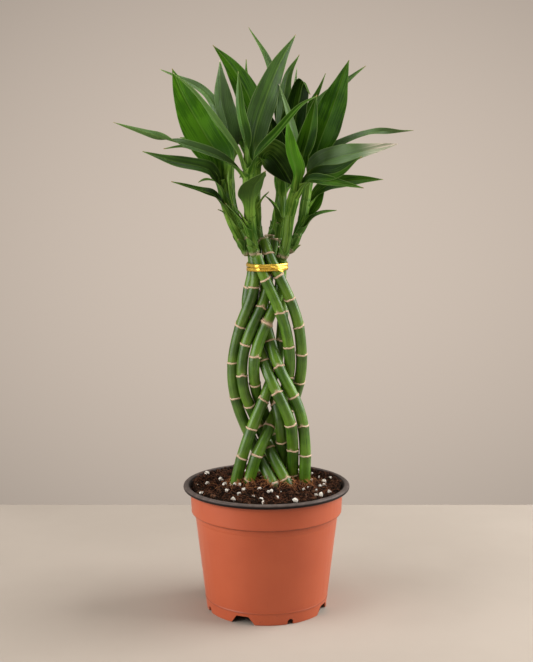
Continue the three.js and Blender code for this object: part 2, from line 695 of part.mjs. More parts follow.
function shootSolid(shoot) {
  const seat = levelPoint(routes[shoot.cane], caneTop(CANES[shoot.cane]) - 6);
  const points = [seat, ...shoot.axis.map((p) => vec(...p))];
  let solid = tube(points, STEM_RADII.map((r) => r * shoot.girth), STEM_SIDES);
  for (const leaf of shoot.leaves) solid = solid.add(leafSolid(shoot.axis, leaf));
  for (const space of caneSpaces) solid = solid.subtract(space);
  return largestBody(solid);
}

// The whole plant

const routes = settleCanes();
const caneSolids = CANES.map((cane, i) => caneSolid(cane, routes[i], 0));
const caneSpaces = CANES.map((cane, i) => caneSolid(cane, routes[i], 1.3 * GAP));

const plant = new THREE.Group();
plant.name = "lucky_bamboo";
plant.add(toMesh("pot", potSolid(), terracotta));
plant.add(toMesh("soil", soilSolid(caneSpaces), soilDark));
CANES.forEach((cane, i) => plant.add(toMesh(cane.name, caneSolids[i], caneGreen)));
plant.add(toMesh("tie", tieSolid(routes), goldFoil));
for (const shoot of SHOOTS) plant.add(toMesh(shoot.name, shootSolid(shoot), leafGreen));

export default plant;
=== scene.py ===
# A braided lucky bamboo in its two-tone nursery pot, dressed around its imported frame.
# Nine canes in three strands of three are plaited above the soil, tied with gold foil near the
# top, and each cane carries one leafy shoot.
# Shapes are worked out in millimetres and turned to metres when a mesh is made.

import json
import math
import random

import bpy
from mathutils import Matrix, Vector, noise

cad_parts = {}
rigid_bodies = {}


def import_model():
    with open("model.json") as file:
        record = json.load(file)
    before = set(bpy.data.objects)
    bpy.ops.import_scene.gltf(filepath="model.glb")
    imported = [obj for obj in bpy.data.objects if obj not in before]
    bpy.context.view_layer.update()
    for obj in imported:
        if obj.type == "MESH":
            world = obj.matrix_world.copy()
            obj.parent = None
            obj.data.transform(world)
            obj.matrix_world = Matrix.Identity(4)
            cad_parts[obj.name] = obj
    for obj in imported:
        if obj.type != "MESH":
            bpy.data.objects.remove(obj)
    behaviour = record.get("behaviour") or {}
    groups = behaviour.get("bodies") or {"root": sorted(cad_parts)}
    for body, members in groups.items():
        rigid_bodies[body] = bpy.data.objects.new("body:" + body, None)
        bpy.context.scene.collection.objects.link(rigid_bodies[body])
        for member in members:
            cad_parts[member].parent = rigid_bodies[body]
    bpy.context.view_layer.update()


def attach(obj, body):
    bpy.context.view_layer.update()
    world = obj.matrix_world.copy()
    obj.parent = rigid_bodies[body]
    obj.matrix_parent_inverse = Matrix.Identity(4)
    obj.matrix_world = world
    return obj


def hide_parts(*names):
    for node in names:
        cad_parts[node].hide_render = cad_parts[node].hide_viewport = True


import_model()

MM = 0.001
TURN = 2 * math.pi
RIGHT = Vector((1, 0, 0))
UP = Vector((0, 0, 1))

# Pot
POT_HEIGHT = 125.5
RIM_RADIUS = 83
RIM_DEPTH = 4.7
COLLAR_RADIUS = 75.8
COLLAR_BOTTOM = 97
COLLAR_FLARE = 0.62
BODY_TOP_RADIUS = 71.6
FOOT_RADIUS = 60.2
FOOT_HEIGHT = 11.5
FOOT_RING = 11.9
WALL = 1.6
FLOOR_THICKNESS = 2
POT_SEGMENTS = 256
NOTCH_PAIRS = 4
FIRST_NOTCH = -112.5
WIDE_NOTCH = {"bottom": 26, "top": 13, "height": 8.2}
ARCH_NOTCH = {"width": 6, "height": 5.4}
NOTCH_CORNER = 0.8
NOTCH_REACH = 6
DRAIN_RADIUS = 4
DRAIN_CIRCLE = 34
DRAIN_SIDES = 24
SHARP_EDGE = 38

# Soil
SOIL_EDGE_HEIGHT = 121.5
SOIL_MOUND = 9.5
SOIL_MOUND_RADIUS = 42
SOIL_MOUND_BACK = 6
SOIL_LUMP = 1.3
SOIL_EDGE_RADIUS = COLLAR_RADIUS - WALL - 0.9
SOIL_RINGS = 84
SOIL_SEGMENTS = 300
PATCH_RINGS = 36
PATCH_SEGMENTS = 120
ROOTS_PER_FOOT = 34
LOOSE_ROOTS = 110
ROOT_SIDES = 6
ROOT_STEPS = 12
ROOT_SEED = 71

# Canes
CANE_TOP_RADIUS = 5
CANE_BOTTOM_RADIUS = 5.8
CANE_ROOT = 76
CANE_SIDES = 32
CANE_STEP = 3
RING_STEPS = (5, 3.4, 2.4, 1.7, 1.2, 0.85, 0.62, 0.45, 0.3, 0.16)
BRAID_BOTTOM = 118
BRAID_TOP = 374
LEVEL_STEP = 4
SETTLE_ROUNDS = 240
SMOOTH_EVERY = 8
LAST_ROUNDS = 40
NODE_RING_PROUD = 0.4
GAP = 0.3
# The relief of a cane's skin: heights and half-widths of what stands on it
RING_HEIGHT, RING_WIDTH = 0.55, 0.5
SWELL_HEIGHT, SWELL_WIDTH = 0.22, 2.4
GROOVE_DEPTH, GROOVE_WIDTH = 0.16, 1.0
BUD_HEIGHT, BUD_WIDTH = 1.1, 1.3
KNOT_HEIGHT, KNOT_WIDTH = 0.9, 1.8
SKIN_GRAIN = 0.09
ROOTED_BELOW = BRAID_BOTTOM - 6
SLIMMER_IN_SOIL = 0.5
FAR_FROM_RING = 30
CANE_SEED = 100

# Tie
TIE_CENTRE = 342
TIE_CORNERS = 48
TIE_POINTS = 260
TIE_TWIST_STEPS = 60
TIE_TWISTS = 2.5
TIE_TWISTED_SHARE = 0.6
TIE_TWIST_PLACE = Vector((8, -21, TIE_CENTRE))

# Shoots. Places on a stem are counted in its points, from its seat on the cane. LEAF_LIFT is how much
# a free leaf sets out along its stem, SHEATH_SPAN how much of the stem its sheath covers and
# SHEATH_WRAP how far the sheath goes round to each side, in radii of the stem.
STEM_RADII = [3.2, 4.4, 4.3, 4.6, 4.9, 2.8]
STEM_SIDES = 28
STEM_STEPS = 70
STEM_TOP = 4.4
LEAF_LIFT = 0.55
LEAF_STEP = 2.4
MIDRIB_STEPS = 160
SHEATH_SPAN = 1.25
SHEATH_ROWS = 12
SHEATH_GAP = 0.35
SHEATH_WRAP = {"low": 2.7, "high": 1.75}
# How many millimetres up a blade the traits of its sheath reach
THROAT_REACH = 6.5
CURL_REACH = 12
STAND_OFF_REACH = 15
FOLD_REACH = 16
SHEATH_FADE = 26
TURN_REACH = 34
# A blade's thickness at its middle and at its edge
BLADE_MIDDLE = 0.42
BLADE_EDGE = 0.24
SCALES_PER_SHOOT = 3
SCALE_ROWS = 14
SHOOT_SEED = 500

# The camera stands where the photograph's did, worked out from the ellipses of the pot
PHOTO_HEIGHT = 662
FOCAL_PIXELS = 1100
CAMERA_BACK = 1076
CAMERA_HEIGHT = 409
CAMERA_DOWN = 6.92
SENSOR = 36
FLOOR_BACK = 360
FLOOR_FRONT = 2600
FLOOR_SIDE = 2600
BACKDROP_LIGHT = 0.42
BACKDROP_LEAST = 0.6

# Each route lists x, y, z down the cane's middle. rings are the heights of its node rings, and age
# runs from 0, fresh yellow-green, to 1, old dark green. bud turns a cane's first bud to an angle in
# degrees, and knot names a ring that has a fat pale callus.
CANES = [
    dict(name="cane_1", age=0.35, rings=[331, 298, 264, 234, 208, 182, 156, 130], route=[
        (-12, -15, 356), (-7, -16, 342), (-1, -17, 330), (8.5, -16, 311), (17, -12, 291), (22, -8, 266),
        (24, -5, 246), (22, 4, 227), (17, 12, 210), (8, 10, 194), (1, -1, 178), (-8, -10, 162),
        (-15, -11, 142), (-19, -8, 124)]),
    dict(name="cane_2", age=0.55, rings=[355, 334, 311, 284, 256, 227, 198, 169, 141], route=[
        (-5, -8, 371), (1.5, -11, 356), (7, -14, 343), (14, -15, 330), (23, -13, 311), (31, -8, 291),
        (34, -5, 266), (35, -1, 245), (32, 6, 224), (27, 14, 208), (21, 20, 194), (13, 24, 175),
        (6, 24, 154), (-3, 20, 134), (-7, 16, 122)]),
    dict(name="cane_3", age=0.5, rings=[350, 325, 297, 268, 238, 210, 183, 153.5, 126], route=[
        (17, 8, 361), (11.5, 7, 342), (14, 10, 325), (17, 9, 308), (16, 4, 289), (14, 5, 264), (10, 3, 244),
        (4, -1, 225), (-3, -7, 211), (-9, -11, 197), (-17, -12, 178), (-22, -12, 162), (-27, -10, 144),
        (-30, -7, 126)]),
    dict(name="cane_4", age=0.7, rings=[322, 284, 247, 211, 176.5, 151, 126.5], route=[
        (-15, -7, 361), (-9.5, -7.5, 342), (-8.5, -6, 330), (-15, -8, 310), (-23, -6, 291), (-31, -2, 266),
        (-34, 0, 245), (-34, 2, 225), (-31, 2, 210), (-26, 3, 194), (-18, 3, 175), (-9, 2, 158),
        (0, -5, 140), (10, -16, 124)]),
    dict(name="cane_5", age=0.6, rings=[335, 302, 266, 235, 205, 182, 160.5, 131], bud=120, route=[
        (11, 0, 370), (6.5, -1.5, 356), (0.5, -3, 342), (2, -4, 326), (0, -3, 310), (-11, -8, 291),
        (-21, -10, 266), (-24, -9, 246), (-24, -7, 226), (-19, -3, 210), (-13, 3, 194), (-3, 8, 176),
        (4, 0, 159), (14, -8, 140), (21, -13, 124)]),
    dict(name="cane_6", age=0.45, rings=[330, 287, 254, 227, 200, 173, 147], knot=287, route=[
        (14, -6, 354), (13, -5, 342), (15.5, -1, 326), (12, 1, 310), (1, -8, 291), (-10, -11, 266),
        (-14, -12, 247), (-13, -8, 226), (-8, 7, 209), (-3, 16, 192), (5, 17, 180), (12, 16, 166),
        (15, 15, 151), (14, 21, 134), (13, 23, 122)]),
    dict(name="cane_7", age=0.3, rings=[355, 317, 290, 269, 244, 215, 184.5, 154.5, 125], route=[
        (3, 12, 373), (3, 10, 353), (2, 9, 341), (-1, 9, 325), (-3, 9, 309), (-3, 5, 289), (6, -3, 265),
        (10, -9, 246), (21, -11, 227), (29, -8, 211), (35, -6, 196), (38, -4, 170), (38, -2, 149),
        (37, 0, 124)]),
    dict(name="cane_8", age=0.55, rings=[355, 338, 321, 290, 249, 219, 187.5, 160, 134], route=[
        (-17, 6, 372), (-12.5, 5, 353), (-10, 4.5, 342), (-15.5, 2.5, 326), (-22, 3, 309), (-18, 5, 289),
        (-9, 3, 264), (-2, -5, 246), (6, -13, 227), (14, -15, 212), (21, -14, 197), (25, -8, 173),
        (26, -2, 154), (27, 2, 136), (27, 4, 124)]),
    dict(name="cane_9", age=0.8, rings=[350, 326, 297, 265, 234, 205, 168.5, 140], route=[
        (-9, 17, 372), (-8.5, 16, 353), (-8.5, 15.8, 341), (-11, 13, 325), (-15, 13, 308), (-10, 14, 288),
        (-3, 14, 263), (2, 12, 243), (6, 9, 223), (9, 2, 213), (12, -6, 200), (15, -8, 185), (15, -2, 170),
        (15, 4, 154), (15, 9, 139), (15, 11, 124)]),
]

# A leaf leaves its stem at a fraction t of the stem, runs through its mid points and ends at tip.
# One without mid points arches freely, and droop bends its tip down where it is negative. roll
# turns the blade about its own length in degrees, and twist gives the share of its length where it
# turns over, with the angle. shade runs from 0, young and bright, to 1, old and dark, and is set higher
# for leaves deep in the crown as painted shade. Its grey-blue cast (bloom) is partly a waxy
# coat and partly painted sheen, and dry is the withered share at its tip.
SHOOTS = [
    dict(name="shoot_1", cane=3, girth=0.95, axis=[
        (-20, -9, 358), (-27, -11, 372), (-34, -13, 388), (-39, -15, 405), (-42, -17, 426)], leaves=[
        dict(t=0.94, mid=[(-45, -14, 447), (-57, -12, 466), (-79, -8, 505)], tip=(-90, -6, 531), width=36,
             roll=-78, fold=5, shade=0.62),
        dict(t=0.86, mid=[(-47, -12, 431), (-56, -9, 447), (-77, -7, 457)], tip=(-99, -5, 456), width=10,
             roll=-40, shade=0.89),
        dict(t=0.74, mid=[(-51, -23, 430), (-60, -29, 437), (-88, -36, 443)], tip=(-116, -34, 452),
             width=15, roll=-55, shade=0.83, bloom=0.1),
        dict(t=0.52, mid=[(-47, -27, 409), (-60, -38, 415)], tip=(-88, -48, 424), width=10, roll=-45,
             shade=0.87),
        dict(t=0.3, droop=-0.6, tip=(-46, -24, 398), width=6, roll=0, shade=0.82)]),
    dict(name="shoot_2", cane=0, girth=1.08, axis=[
        (-12, -18, 358), (-14, -21, 374), (-16, -24, 393), (-17, -27, 414), (-17, -30, 440)], leaves=[
        dict(t=1.0, mid=[(-9, -24, 477), (-1, -19, 501), (12, -11, 534)], tip=(28, -2, 563), width=24,
             roll=78, fold=-12, shade=0.86, bloom=0.14),
        dict(t=0.96, mid=[(-25, -36, 449), (-45, -40, 477), (-66, -42, 505)], tip=(-86, -42, 523), width=8,
             roll=40, shade=0.66, bloom=0.22),
        dict(t=0.9, mid=[(-27, -32, 437), (-52, -37, 450), (-99, -41, 465)], tip=(-142, -40, 478), width=11,
             roll=-55, twist=(0.62, 150), shade=0.76, bloom=0.2),
        dict(t=1.0, mid=[(-20, -35, 464), (-25, -38, 490)], tip=(-26, -36, 525), width=13, roll=-75,
             shade=0.76, bloom=0.1),
        dict(t=0.94, mid=[(-7, -43, 451), (9, -51, 468), (30, -47, 492)], tip=(47, -38, 503), width=9,
             roll=60, shade=0.84),
        dict(t=0.5, mid=[(-12, -46, 417), (-7, -62, 425)], tip=(-1, -80, 433), width=26, roll=12,
             shade=0.92),
        dict(t=0.28, droop=0.1, tip=(-38, -34, 404), width=5, roll=-30, shade=0.8),
        dict(t=0.38, droop=0.1, tip=(-31, -33, 403), width=4.5, roll=-30, shade=0.8)]),
    dict(name="shoot_3", cane=5, girth=1.05, axis=[
        (17, -9, 355), (20, -12, 372), (22, -15, 389), (25, -18, 406), (31, -21, 428)], leaves=[
        dict(t=0.88, mid=[(28, -32, 435), (23, -38, 453)], tip=(19, -41, 481), width=16, roll=-10,
             shade=0.0, bloom=0),
        dict(t=1.0, mid=[(35, -24, 449), (41, -25, 472)], tip=(47, -22, 505), width=18, roll=70, shade=0.88,
             bloom=0),
        dict(t=0.98, mid=[(29, -17, 452), (22, -13, 485)], tip=(12, -11, 516), width=8, roll=-50, shade=0.5,
             bloom=0.5),
        dict(t=0.9, mid=[(48, -25, 429), (68, -34, 433)], tip=(88, -41, 447), width=18, roll=70,
             shade=0.96),
        dict(t=0.8, mid=[(40, -27, 425), (57, -36, 424)], tip=(90, -48, 418), width=12, roll=50,
             shade=0.86)]),
    dict(name="shoot_4", cane=2, girth=0.92, axis=[
        (24, 8, 359), (30, 9, 373), (35, 10, 387), (38, 10, 404), (42, 8, 431)], leaves=[
        dict(t=1.0, mid=[(51, 7, 460), (64, 4, 495)], tip=(79, 2, 540), width=33, roll=75, fold=6,
             shade=0.78, bloom=0),
        dict(t=0.93, mid=[(44, 5, 437), (61, 4, 454), (100, 4, 471)], tip=(142, 2, 473), width=12, roll=40,
             twist=(0.8, 120), shade=0.8, bloom=0.3),
        dict(t=0.8, mid=[(44, 0, 429), (56, -12, 443), (86, -26, 451)], tip=(123, -34, 459), width=23,
             roll=60, shade=0.68, bloom=0.4, dry=0.34),
        dict(t=0.72, mid=[(58, 17, 420), (90, 22, 426)], tip=(116, 28, 427), width=14, roll=60, shade=0.89),
        dict(t=0.5, droop=0, tip=(58, 22, 420), width=17, roll=60, shade=0.7),
        dict(t=0.3, mid=[(42, 9, 388), (53, 9, 394)], tip=(69, 8, 397), width=7, roll=30, shade=0.6,
             bloom=0.3)]),
    dict(name="shoot_5", cane=4, girth=1.0, axis=[
        (12, 2, 368), (14, 5, 386), (15, 7, 403), (15, 9, 420), (15, 10, 438)], leaves=[
        dict(t=1.0, mid=[(26, 12, 475), (32, 14, 504), (36, 8, 519)], tip=(41, -12, 506), width=26,
             roll=100, shade=1.0, bloom=0),
        dict(t=0.9, mid=[(30, 17, 474), (49, 24, 509)], tip=(58, 26, 530), width=10, roll=45, shade=0.85),
        dict(t=0.85, droop=0.1, tip=(2, 12, 492), width=24, roll=-80, shade=0.98),
        dict(t=0.25, mid=[(9, -3, 399), (4, -7, 406)], tip=(-1, -9, 411), width=11, roll=-45, shade=0.78)]),
    dict(name="shoot_6", cane=1, girth=0.92, axis=[
        (-7, -8, 369), (-9, -8, 386), (-10, -8, 402), (-10, -8, 424), (-9, -8, 445)], leaves=[
        dict(t=1.0, mid=[(-7, -2, 472), (-17, 13, 506), (-34, 24, 536)], tip=(-53, 32, 558), width=25,
             roll=-70, fold=6, shade=0.84, bloom=0),
        dict(t=0.95, mid=[(1, -14, 450), (12, -17, 442)], tip=(26, -11, 420), width=30, roll=80, shade=1.0,
             bloom=0.02),
        dict(t=0.9, droop=0.2, tip=(-24, -8, 505), width=14, roll=-70, shade=0.84),
        dict(t=0.5, mid=[(-5, -18, 408)], tip=(2, -22, 415), width=6, roll=30, shade=0.84)]),
    dict(name="shoot_7", cane=7, girth=0.92, axis=[
        (-20, 7, 370), (-28, 12, 385), (-34, 16, 402), (-36, 18, 422), (-36, 20, 442)], leaves=[
        dict(t=1.0, mid=[(-38, 16, 475), (-44, 13, 504)], tip=(-45, 14, 541), width=28, roll=-80,
             shade=0.76, bloom=0.33),
        dict(t=0.95, mid=[(-43, 26, 478), (-62, 35, 513)], tip=(-106, 41, 536), width=13, roll=-40,
             shade=0.75, bloom=0.3),
        dict(t=0.8, droop=-0.4, tip=(-88, 58, 470), width=14, roll=-20, shade=0.8),
        dict(t=0.6, droop=-0.5, tip=(-70, 66, 425), width=12, roll=0, shade=0.85),
        dict(t=0.9, droop=-0.4, tip=(-60, 83, 484), width=16, roll=0, shade=0.8)]),
    dict(name="shoot_8", cane=6, girth=0.92, axis=[
        (5, 14, 370), (9, 20, 386), (13, 26, 404), (15, 31, 425), (15, 34, 447)], leaves=[
        dict(t=1.0, mid=[(16, 40, 490), (21, 46, 528)], tip=(33, 50, 551), width=15, roll=60, shade=0.92,
             bloom=0.1),
        dict(t=0.97, droop=-0.2, tip=(100, 56, 541), width=16, roll=50, shade=0.86, bloom=0.15),
        dict(t=0.95, mid=[(13, 42, 490), (3, 48, 541)], tip=(-18, 56, 579), width=10, roll=-60, shade=0.78,
             bloom=0.25),
        dict(t=0.92, mid=[(27, 56, 510)], tip=(31, 61, 540), width=8, roll=30, shade=0.6, bloom=0.55),
        dict(t=0.9, droop=-0.4, tip=(74, 62, 476), width=14, roll=20, shade=0.84),
        dict(t=0.8, droop=-0.3, tip=(42, 83, 490), width=18, roll=0, shade=0.8),
        dict(t=0.6, droop=-0.5, tip=(60, 68, 424), width=14, roll=10, shade=0.86),
        dict(t=0.5, droop=-0.5, tip=(12, 82, 436), width=12, roll=0, shade=0.8)]),
    dict(name="shoot_9", cane=8, girth=0.92, axis=[
        (-9, 18, 370), (-11, 24, 385), (-13, 29, 402), (-14, 32, 424), (-14, 35, 444)], leaves=[
        dict(t=1.0, mid=[(-17, 48, 490)], tip=(-21, 64, 548), width=15, roll=-50, shade=0.8),
        dict(t=0.96, droop=-0.2, tip=(-50, 66, 515), width=20, roll=-40, shade=0.8),
        dict(t=0.9, droop=0.1, tip=(8, 20, 528), width=26, roll=75, shade=0.97),
        dict(t=0.85, droop=-0.4, tip=(-34, 85, 482), width=16, roll=0, shade=0.8),
        dict(t=0.6, droop=-0.5, tip=(-28, 80, 430), width=12, roll=0, shade=0.85)]),
]


# Small tools

def linear(colour):
    """A #rrggbb colour as the linear red, green, blue and alpha that shaders take."""
    channels = [int(colour[i:i + 2], 16) / 255 for i in (1, 3, 5)]
    return [c / 12.92 if c <= 0.04045 else ((c + 0.055) / 1.055) ** 2.4 for c in channels] + [1]


def add(tree, kind, inputs=None, **settings):
    """Adds one node with its settings. inputs maps a socket's name or number to a value, a #rrggbb
    colour, the socket that feeds it, or the node whose first output in use feeds it."""
    made = tree.nodes.new(kind)
    for name, value in settings.items():
        setattr(made, name, value)
    for key, value in (inputs or {}).items():
        if isinstance(value, bpy.types.Node):
            value = next(socket for socket in value.outputs if socket.enabled)
        if isinstance(value, bpy.types.NodeSocket):
            tree.links.new(value, made.inputs[key])
        else:
            made.inputs[key].default_value = linear(value) if isinstance(value, str) else value
    return made


def smooth(t):
    t = min(max(t, 0), 1)
    return t * t * (3 - 2 * t)


def lerp(a, b, t):
    return a + (b - a) * t


def bell(x, width):
    """A smooth bump of height 1 at x = 0."""
    return math.exp(-(x / width) ** 2)


def evenly(first, last, steps):
    return [lerp(first, last, i / steps) for i in range(steps + 1)]


def turns(count):
    """Angles evenly spaced once round."""
    return [TURN * k / count for k in range(count)]


def polar(radius, angle, z=0):
    return Vector((radius * math.cos(angle), radius * math.sin(angle), z))


def square_to(along, way):
    """The direction nearest to way that is square to along."""
    return (way - along * way.dot(along)).normalized()


class Skin:
    """Gathers the points and faces of one piece in millimetres, with named values at each point."""

    def __init__(self, **kinds):
        self.kinds = kinds
        self.values = {name: [] for name in kinds}
        self.points = []
        self.faces = []
        self.slots = []

    def point(self, place, **values):
        self.points.append(place)
        for name in self.kinds:
            self.values[name].append(values[name])
        return len(self.points) - 1

    def ring(self, radius, count, height):
        """Points round the z axis. height is a number, or a function of x and y."""
        loop = []
        for angle in turns(count):
            x, y = radius * math.cos(angle), radius * math.sin(angle)
            loop.append(self.point(Vector((x, y, height(x, y) if callable(height) else height))))
        return loop

    def face(self, corners, slot=0):
        self.faces.append(tuple(corners))
        self.slots.append(slot)

    def tube(self, rings, slot=0):
        """Faces between rings of points that go round counter-clockwise, seen from the last one."""
        for lower, upper in zip(rings, rings[1:]):
            count = len(lower)
            for k in range(count):
                n = (k + 1) % count
                self.face((lower[k], lower[n], upper[n], upper[k]), slot)

    def ends(self, rings, slot=0):
        """Closes the first and the last ring of a tube."""
        self.face(reversed(rings[0]), slot)
        self.face(rings[-1], slot)

    def piece(self, name, materials):
        mesh = bpy.data.meshes.new(name)
        mesh.from_pydata([p * MM for p in self.points], [], self.faces)
        for value, kind in self.kinds.items():
            attribute = mesh.attributes.new(value, kind, "POINT")
            if kind == "FLOAT":
                attribute.data.foreach_set("value", self.values[value])
            else:
                attribute.data.foreach_set("vector", [c for v in self.values[value] for c in v])
        mesh.polygons.foreach_set("material_index", self.slots)
        mesh.shade_smooth()
        for material in materials:
            mesh.materials.append(material)
        mesh.update()
        piece = bpy.data.objects.new(name, mesh)
        bpy.context.collection.objects.link(piece)
        return piece


def dress(piece, slot, *nodes):
    """The piece rides on the plant's one body and stands for CAD nodes. slot is not used."""
    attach(piece, "root")
    if nodes:
        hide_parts(*nodes)


def plain_mesh(piece):
    """Turns what a piece's modifiers make into its own mesh."""
    graph = bpy.context.evaluated_depsgraph_get()
    made = bpy.data.meshes.new_from_object(piece.evaluated_get(graph), depsgraph=graph)
    made.name = piece.name
    piece.modifiers.clear()
    piece.data = made


# Materials

def new_material(name):
    """An empty material, its node tree and the place on the surface in metres."""
    material = bpy.data.materials.new(name)
    material.use_nodes = True
    tree = material.node_tree
    tree.nodes.clear()
    return material, tree, add(tree, "ShaderNodeTexCoord").outputs["Object"]


def layered(tree, colour, layers, fade="LINEAR"):
    """A colour under layers of others. A layer is its share and its colour, or else a source, the
    source's values where the layer is absent and where it is full, its strength there, and its colour."""
    for share, *span, over in layers:
        if span:
            share = add(tree, "ShaderNodeMapRange", {0: share, 1: span[0], 2: span[1], 3: 0.0, 4: span[2]},
                        interpolation_type=fade)
        colour = add(tree, "ShaderNodeMix", {0: share, 6: colour, 7: over}, data_type="RGBA")
    return colour


def finish_material(tree, surface, relief, strength, depth):
    """Adds the shader, whose sockets take what surface says, and a bump that is depth metres high."""
    bump = add(tree, "ShaderNodeBump", {"Strength": strength, "Distance": depth, "Height": relief})
    shader = add(tree, "ShaderNodeBsdfPrincipled", {**surface, "Normal": bump})
    add(tree, "ShaderNodeOutputMaterial", {"Surface": shader})


def moulded_polypropylene():
    """Terracotta-pigmented polypropylene, injection moulded: a satin skin with faint flow clouds, fine
    vertical draw marks, painted shade close under the rim and in its creases, and a little soil dust
    low on the wall."""
    material, tree, place = new_material("moulded_terracotta_polypropylene")
    height = add(tree, "ShaderNodeSeparateXYZ", {0: place}).outputs["Z"]
    # Clouds are about 36 mm across, draw marks 4 mm apart and grit 2.4 mm
    clouds = add(tree, "ShaderNodeTexNoise", {"Vector": place, "Scale": 28, "Detail": 3})
    drawn = add(tree, "ShaderNodeMapping", {"Vector": place, "Scale": (1, 1, 0.04)})
    marks = add(tree, "ShaderNodeTexNoise", {"Vector": drawn, "Scale": 240, "Detail": 2})
    grit = add(tree, "ShaderNodeTexNoise", {"Vector": place, "Scale": 420, "Detail": 4})
    # Painted shade: the wall is painted darker close under the rim, where the rim casts its shadow
    eaves = (POT_HEIGHT - RIM_DEPTH) * MM
    layers = [(clouds, "#bd5c38"), (height, eaves - 4.5 * MM, eaves - 0.5 * MM, 0.6, "#5c2c1c")]
    # Painted shade darkens the crease under the collar and a line along the ring above the foot
    for level, reach, strength in ((COLLAR_BOTTOM + 0.4, 1.7, 0.5), (FOOT_RING, 1.0, 0.35)):
        offset = add(tree, "ShaderNodeMath", {0: height, 1: level * MM}, operation="SUBTRACT")
        gap = add(tree, "ShaderNodeMath", {0: offset}, operation="ABSOLUTE")
        layers.append((gap, reach * MM, 0.2 * MM, strength, "#4a2012"))
    low = add(tree, "ShaderNodeMapRange", {0: height, 1: 0.03, 2: 0.0, 3: 0.0, 4: 1.0})
    specks = add(tree, "ShaderNodeMapRange", {0: grit, 1: 0.62, 2: 0.74, 3: 0.0, 4: 0.35})
    dust = add(tree, "ShaderNodeMath", {0: low, 1: specks}, operation="MULTIPLY")
    layers.append((dust, "#5c3a28"))
    finish_material(tree, {
        "Base Color": layered(tree, "#b15030", layers), "IOR": 1.49,
        "Roughness": add(tree, "ShaderNodeMapRange", {0: marks, 1: 0.3, 2: 0.7, 3: 0.34, 4: 0.44}),
    }, marks, 0.25, 0.0002)
    return material


def black_polypropylene():
    """Carbon-black polypropylene, the inner layer of a two-tone pot: satin, with grey scuffs and dust,
    and painted shade inside the rim and on the lower half of its bead.
    """
    material, tree, place = new_material("carbon_black_polypropylene")
    # Scuffs are about 8 mm long
    scuffs = add(tree, "ShaderNodeTexNoise", {"Vector": place, "Scale": 130, "Detail": 6, "Roughness": 0.7})
    # Painted shade darkens the inside of the rim and the lower half of its bead
    flat = add(tree, "ShaderNodeVectorMath", {0: place, 1: (1, 1, 0)}, operation="MULTIPLY")
    away = add(tree, "ShaderNodeVectorMath", {0: flat}, operation="LENGTH").outputs["Value"]
    height = add(tree, "ShaderNodeSeparateXYZ", {0: place}).outputs["Z"]
    inside = add(tree, "ShaderNodeMapRange", {
        0: away, 1: (RIM_RADIUS - 4.6) * MM, 2: (RIM_RADIUS - 5.6) * MM, 3: 0.0, 4: 1.0})
    low = add(tree, "ShaderNodeMapRange", {
        0: height, 1: (POT_HEIGHT - 1.2) * MM, 2: (POT_HEIGHT - 2.4) * MM, 3: 0.0, 4: 1.0})
    painted_shade = add(tree, "ShaderNodeMath", {0: inside, 1: low}, operation="MAXIMUM")
    colour = layered(tree, "#534a46", [(scuffs, 0.45, 0.72, 0.6, "#776a63"), (painted_shade, "#1c1716")])
    finish_material(tree, {
        "Base Color": colour, "Specular IOR Level": 0.12, "IOR": 1.49,
        "Roughness": add(tree, "ShaderNodeMapRange", {0: scuffs, 1: 0.3, 2: 0.7, 3: 0.36, 4: 0.5}),
    }, scuffs, 0.3, 0.0002)
    return material


def peat_mix():
    """Damp peat potting mix: near-black brown with rusty fibre flecks, dull all over."""
    material, tree, place = new_material("damp_peat_mix")
    # Lumps are about 3 mm across, and fibres are 1 mm thick and four times as long
    lumps = add(tree, "ShaderNodeTexNoise", {"Vector": place, "Scale": 300, "Detail": 6, "Roughness": 0.65})
    lying = add(tree, "ShaderNodeMapping", {"Vector": place, "Rotation": (0.4, 0.3, 0.7),
                                            "Scale": (1, 0.25, 1)})
    fibres = add(tree, "ShaderNodeTexNoise", {"Vector": lying, "Scale": 900, "Detail": 3})
    colour = layered(tree, "#030201", [(lumps, "#281a12"), (fibres, 0.62, 0.72, 0.4, "#6a4630")])
    finish_material(tree, {"Base Color": colour, "Roughness": 0.88, "Specular IOR Level": 0.05},
                    lumps, 0.8, 0.0009)
    return material


def speckled(name, low, high, scale, rough, depth):
    """A dull natural grain: two colours mixed by noise, with relief depth metres high. scale is how many
    grains lie in a metre."""
    material, tree, place = new_material(name)
    grain = add(tree, "ShaderNodeTexNoise", {"Vector": place, "Scale": scale, "Detail": 5})
    finish_material(tree, {"Base Color": layered(tree, low, [(grain, 0.4, 0.66, 1.0, high)]),
                           "Roughness": rough, "Specular IOR Level": 0.1}, grain, 0.7, depth)
    return material


